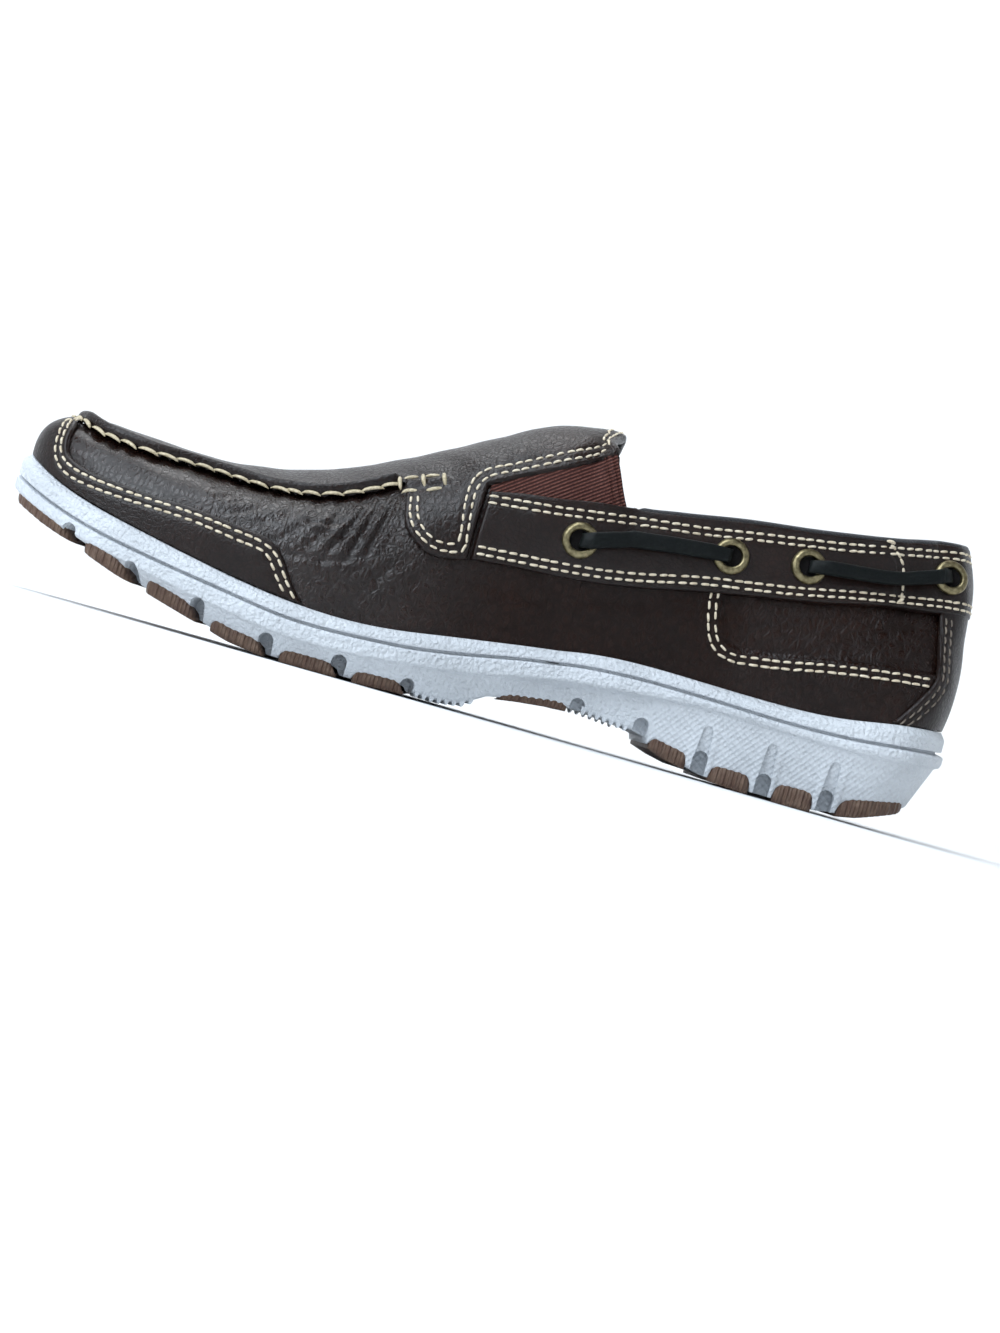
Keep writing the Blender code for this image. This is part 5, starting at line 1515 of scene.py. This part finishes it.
def make_sole():
    """The body closed above and below, with the notches and grooves cut out of it."""
    feet = foot_point(np.linspace(0, TIP, 3000))
    run = np.concatenate([[0], np.cumsum(np.linalg.norm(np.diff(feet, axis=0), axis=1))])
    half = np.interp(np.linspace(0, run[-1], HALF_ROUND), run, np.linspace(0, TIP, 3000))
    q = np.concatenate([half, TURN - half[-2:0:-1]])
    outs, tops = rounded_rows(*sole_profile(q))
    rows = outs.shape[1]
    Q = np.repeat(q[:, None], rows, axis=1)
    points = beside_foot(Q, outs, tops)
    count = len(q)
    faces = turned(grid_faces(count, rows, wrap=True))
    for j, flip in ((0, False), (rows - 1, True)):
        for i in range(count // 2):
            corners = [i, i + 1, count - i - 1, (count - i) % count]
            face = [k * rows + j for n, k in enumerate(corners) if k not in corners[:n]]
            faces.append(face[::-1] if flip else face)
    sole = outward(mesh_object("foam_sole", points.reshape(-1, 3), faces, foam))
    cutters = prisms("notches", notch_shapes), prisms("grooves", groove_shapes)
    for item in cutters:
        knife = sole.modifiers.new(item.name, "BOOLEAN")
        knife.operation, knife.object, knife.solver = "DIFFERENCE", item, "MANIFOLD"
    depsgraph = bpy.context.evaluated_depsgraph_get()
    mesh = bpy.data.meshes.new_from_object(sole.evaluated_get(depsgraph))
    sole.modifiers.clear()
    sole.data = mesh
    for item in cutters:
        bpy.data.objects.remove(item)
    mesh.shade_smooth()
    mesh.set_sharp_from_angle(angle=math.radians(50))
    return sole


settle(make_sole(), "white_foam", "sole")

# short moulded teeth hang under the waist on both sides
TEETH, TOOTH_PITCH = ((98, 113), (145.5, 163)), 2.3


def tooth_shapes(shape):
    """Short ribs with rounded tips, square to the wall."""
    for first, last in TEETH:
        for x in np.arange(first, last, TOOTH_PITCH):
            for side in (INNER, OUTER):
                q, along, outs, tops = beside_wall(x, side)
                reach, base = outs[-2], tops[-1]
                outline = [(0.75 * math.cos(a), 0.9 - 2.0 * max(0.0, math.sin(a)))
                           for a in np.linspace(0, math.pi, 7)] + [(-0.75, 1.6), (0.75, 1.6)]
                add_prism(shape, [[beside_foot(q, at, base + z) + along * a
                                   for a, z in outline] for at in (reach - 7, reach - 0.1)])


settle(prisms("sole_teeth", tooth_shapes, foam), "white_foam")

# ---- Tread pads ---------------------------------------------------------------------
# Brown rubber pads moulded into the arch of each lug, ribbed on their sides and
# finely ribbed underneath.
tread_rubber, nodes, links, principled = shader("brown_tread_rubber", (0.105, 0.06, 0.038), 0.6)
coordinates = nodes.new("ShaderNodeTexCoord").outputs["Object"]
ribs = texture(nodes, links, "ShaderNodeTexWave", 260, coordinates, bands_direction="X")
scuff = texture(nodes, links, "ShaderNodeTexNoise", 420, coordinates, Detail=5.0)
links.new(ramp(nodes, links, scuff.outputs["Fac"], (0.3, (0.075, 0.036, 0.022)),
               (0.55, (0.105, 0.06, 0.038)), (0.8, (0.18, 0.115, 0.078))),
          principled.inputs["Base Color"])
links.new(bump(nodes, links, ribs.outputs["Fac"], 0.3,
               bump(nodes, links, scuff.outputs["Fac"], 0.2)), principled.inputs["Normal"])
SIDE_RIB = 2.2          # from one rib on a pad's side to the next
FOREFOOT = 150          # pads that begin ahead of this x run under the notch behind them


def make_pad(name, first, last):
    x = np.linspace(first + 0.15, last - 0.15, int((last - first) / 0.4))
    share = np.abs((x - (first + last) / 2) / ((last - first) / 2))
    inside = np.clip(1 - share ** 8, 0, 1) ** 0.5
    tread = sole_side("tread", x) + 0.05
    top = np.maximum(lug_base(x) + 1.6, tread + 1.2)
    if first > FOREFOOT:                     # thin under the notch
        top = tread + (top - tread) * (0.3 + 0.7 * np.clip((x - first - 0.8) / 3.4, 0, 1) ** 0.6)
    rings = []
    for side in (INNER, OUTER):
        q = np.array([place_of_foot(at) for at in x]) * side
        outs = sole_profile(q)[0]
        face = outs[:, -2] + 0.25 + 0.16 * np.cos(2 * np.pi * x / SIDE_RIB) - 1.2 * (1 - inside)
        height = top - tread
        for inset, share_up in (((5.0, 1), (0.9, 1), (0.15, 0.8), (0.0, 0.5), (0.15, 0.22),
                                 (0.6, 0.05), (1.3, 0.0), (5.0, 0.0)))[::side]:
            rings.append(beside_foot(q, face - inset, tread + height * share_up))
    points = np.stack(rings, axis=1)
    item = outward(mesh_object(name, points.reshape(-1, 3), tube_faces(len(x), len(rings)),
                               tread_rubber))
    item.data.set_sharp_from_angle(angle=math.radians(60))
    return item


for number, (first, last, _) in enumerate(PADS, 1):
    settle(make_pad(f"ribbed_pad_{number:02d}", first, last), "brown_rubber",
           f"tread_pad_{number:02d}")

# ---- Studio -------------------------------------------------------------------------
# A pale round floor that sweeps up into a wall, soft lights above and in front, and a
# camera low at the inner side.
FLOOR_RADIUS, SWEEP, WALL_TOP, TURNS = 1200, 600, 3500, 96
stage_white = mottled("stage_white", (0.86, 0.865, 0.87), 0.9, 3.0, 2.0,
                      (0.3, (0.855, 0.86, 0.865)), (0.7, (0.87, 0.875, 0.88)))


def make_floor():
    rim = [(FLOOR_RADIUS, 0)] + [
        (FLOOR_RADIUS + SWEEP * math.sin(a), SWEEP - SWEEP * math.cos(a))
        for a in np.linspace(0.1, 1.57, 14)] + [(FLOOR_RADIUS + SWEEP, WALL_TOP)]
    turns = [2 * math.pi * i / TURNS for i in range(TURNS)]
    points = [(r * math.cos(a), r * math.sin(a), z) for a in turns for r, z in rim]
    rows = len(rim)
    faces = turned(grid_faces(TURNS, rows, wrap=True))
    faces += [[i * rows, TURNS * rows, (i + 1) % TURNS * rows] for i in range(TURNS)]
    return mesh_object("studio_floor", np.array(points + [(0, 0, 0)]) + ORIGIN, faces,
                       stage_white)


make_floor()


def add_softbox(name, place, size, power, colour=(1, 1, 1), aim=(0, 0, 0.05)):
    light = bpy.data.lights.new(name, "AREA")
    light.shape, light.size, light.size_y = "RECTANGLE", size[0], size[1]
    light.energy, light.color = power, colour
    item = bpy.data.objects.new(name, light)
    item.location = place
    item.rotation_euler = (Vector(aim) - Vector(place)).to_track_quat("-Z", "Y").to_euler()
    bpy.context.scene.collection.objects.link(item)


add_softbox("window", (0.94, 0.85, 0.85), (0.65, 0.65), 13, (0.83, 0.915, 1.0))
add_softbox("skylight", (0.46, 0.50, 1.22), (0.55, 0.50), 9, (0.83, 0.915, 1.0))
add_softbox("ceiling", (0.55, -0.42, 1.50), (0.8, 0.8), 7, (0.92, 0.96, 1.0))
add_softbox("backdrop", (0.0, -0.70, 1.60), (1.6, 0.5), 13, aim=(0.0, -1.75, 0.45))

world = bpy.data.worlds.new("studio_air")
world.use_nodes = True
world.node_tree.nodes["Background"].inputs["Color"].default_value = (0.97, 0.98, 1.0, 1)
world.node_tree.nodes["Background"].inputs["Strength"].default_value = 0.04
bpy.context.scene.world = world
bpy.context.scene.view_settings.view_transform = "Standard"

# the camera is rolled so that the toe points up and left
camera = bpy.data.cameras.new("camera")
camera.lens, camera.sensor_width, camera.sensor_fit = 46.0, 36.0, "AUTO"
camera.clip_start, camera.clip_end = 0.01, 30
CAMERA_PLACE, CAMERA_AIM = Vector((146.6, 545.1, 6.0)), Vector((139.7, 0, 17.6))
CAMERA_ROLL = 15.92
look = (CAMERA_AIM - CAMERA_PLACE).normalized()
level = look.cross(Vector((0, 0, 1))).normalized()
roll = math.radians(CAMERA_ROLL)
right = level * math.cos(roll) + level.cross(look) * math.sin(roll)
stand = bpy.data.objects.new("camera", camera)
stand.matrix_world = (Matrix.Translation((CAMERA_PLACE - Vector(ORIGIN)) * MM)
                      @ Matrix((right, right.cross(look), -look)).transposed().to_4x4())
bpy.context.scene.collection.objects.link(stand)
bpy.context.scene.camera = stand
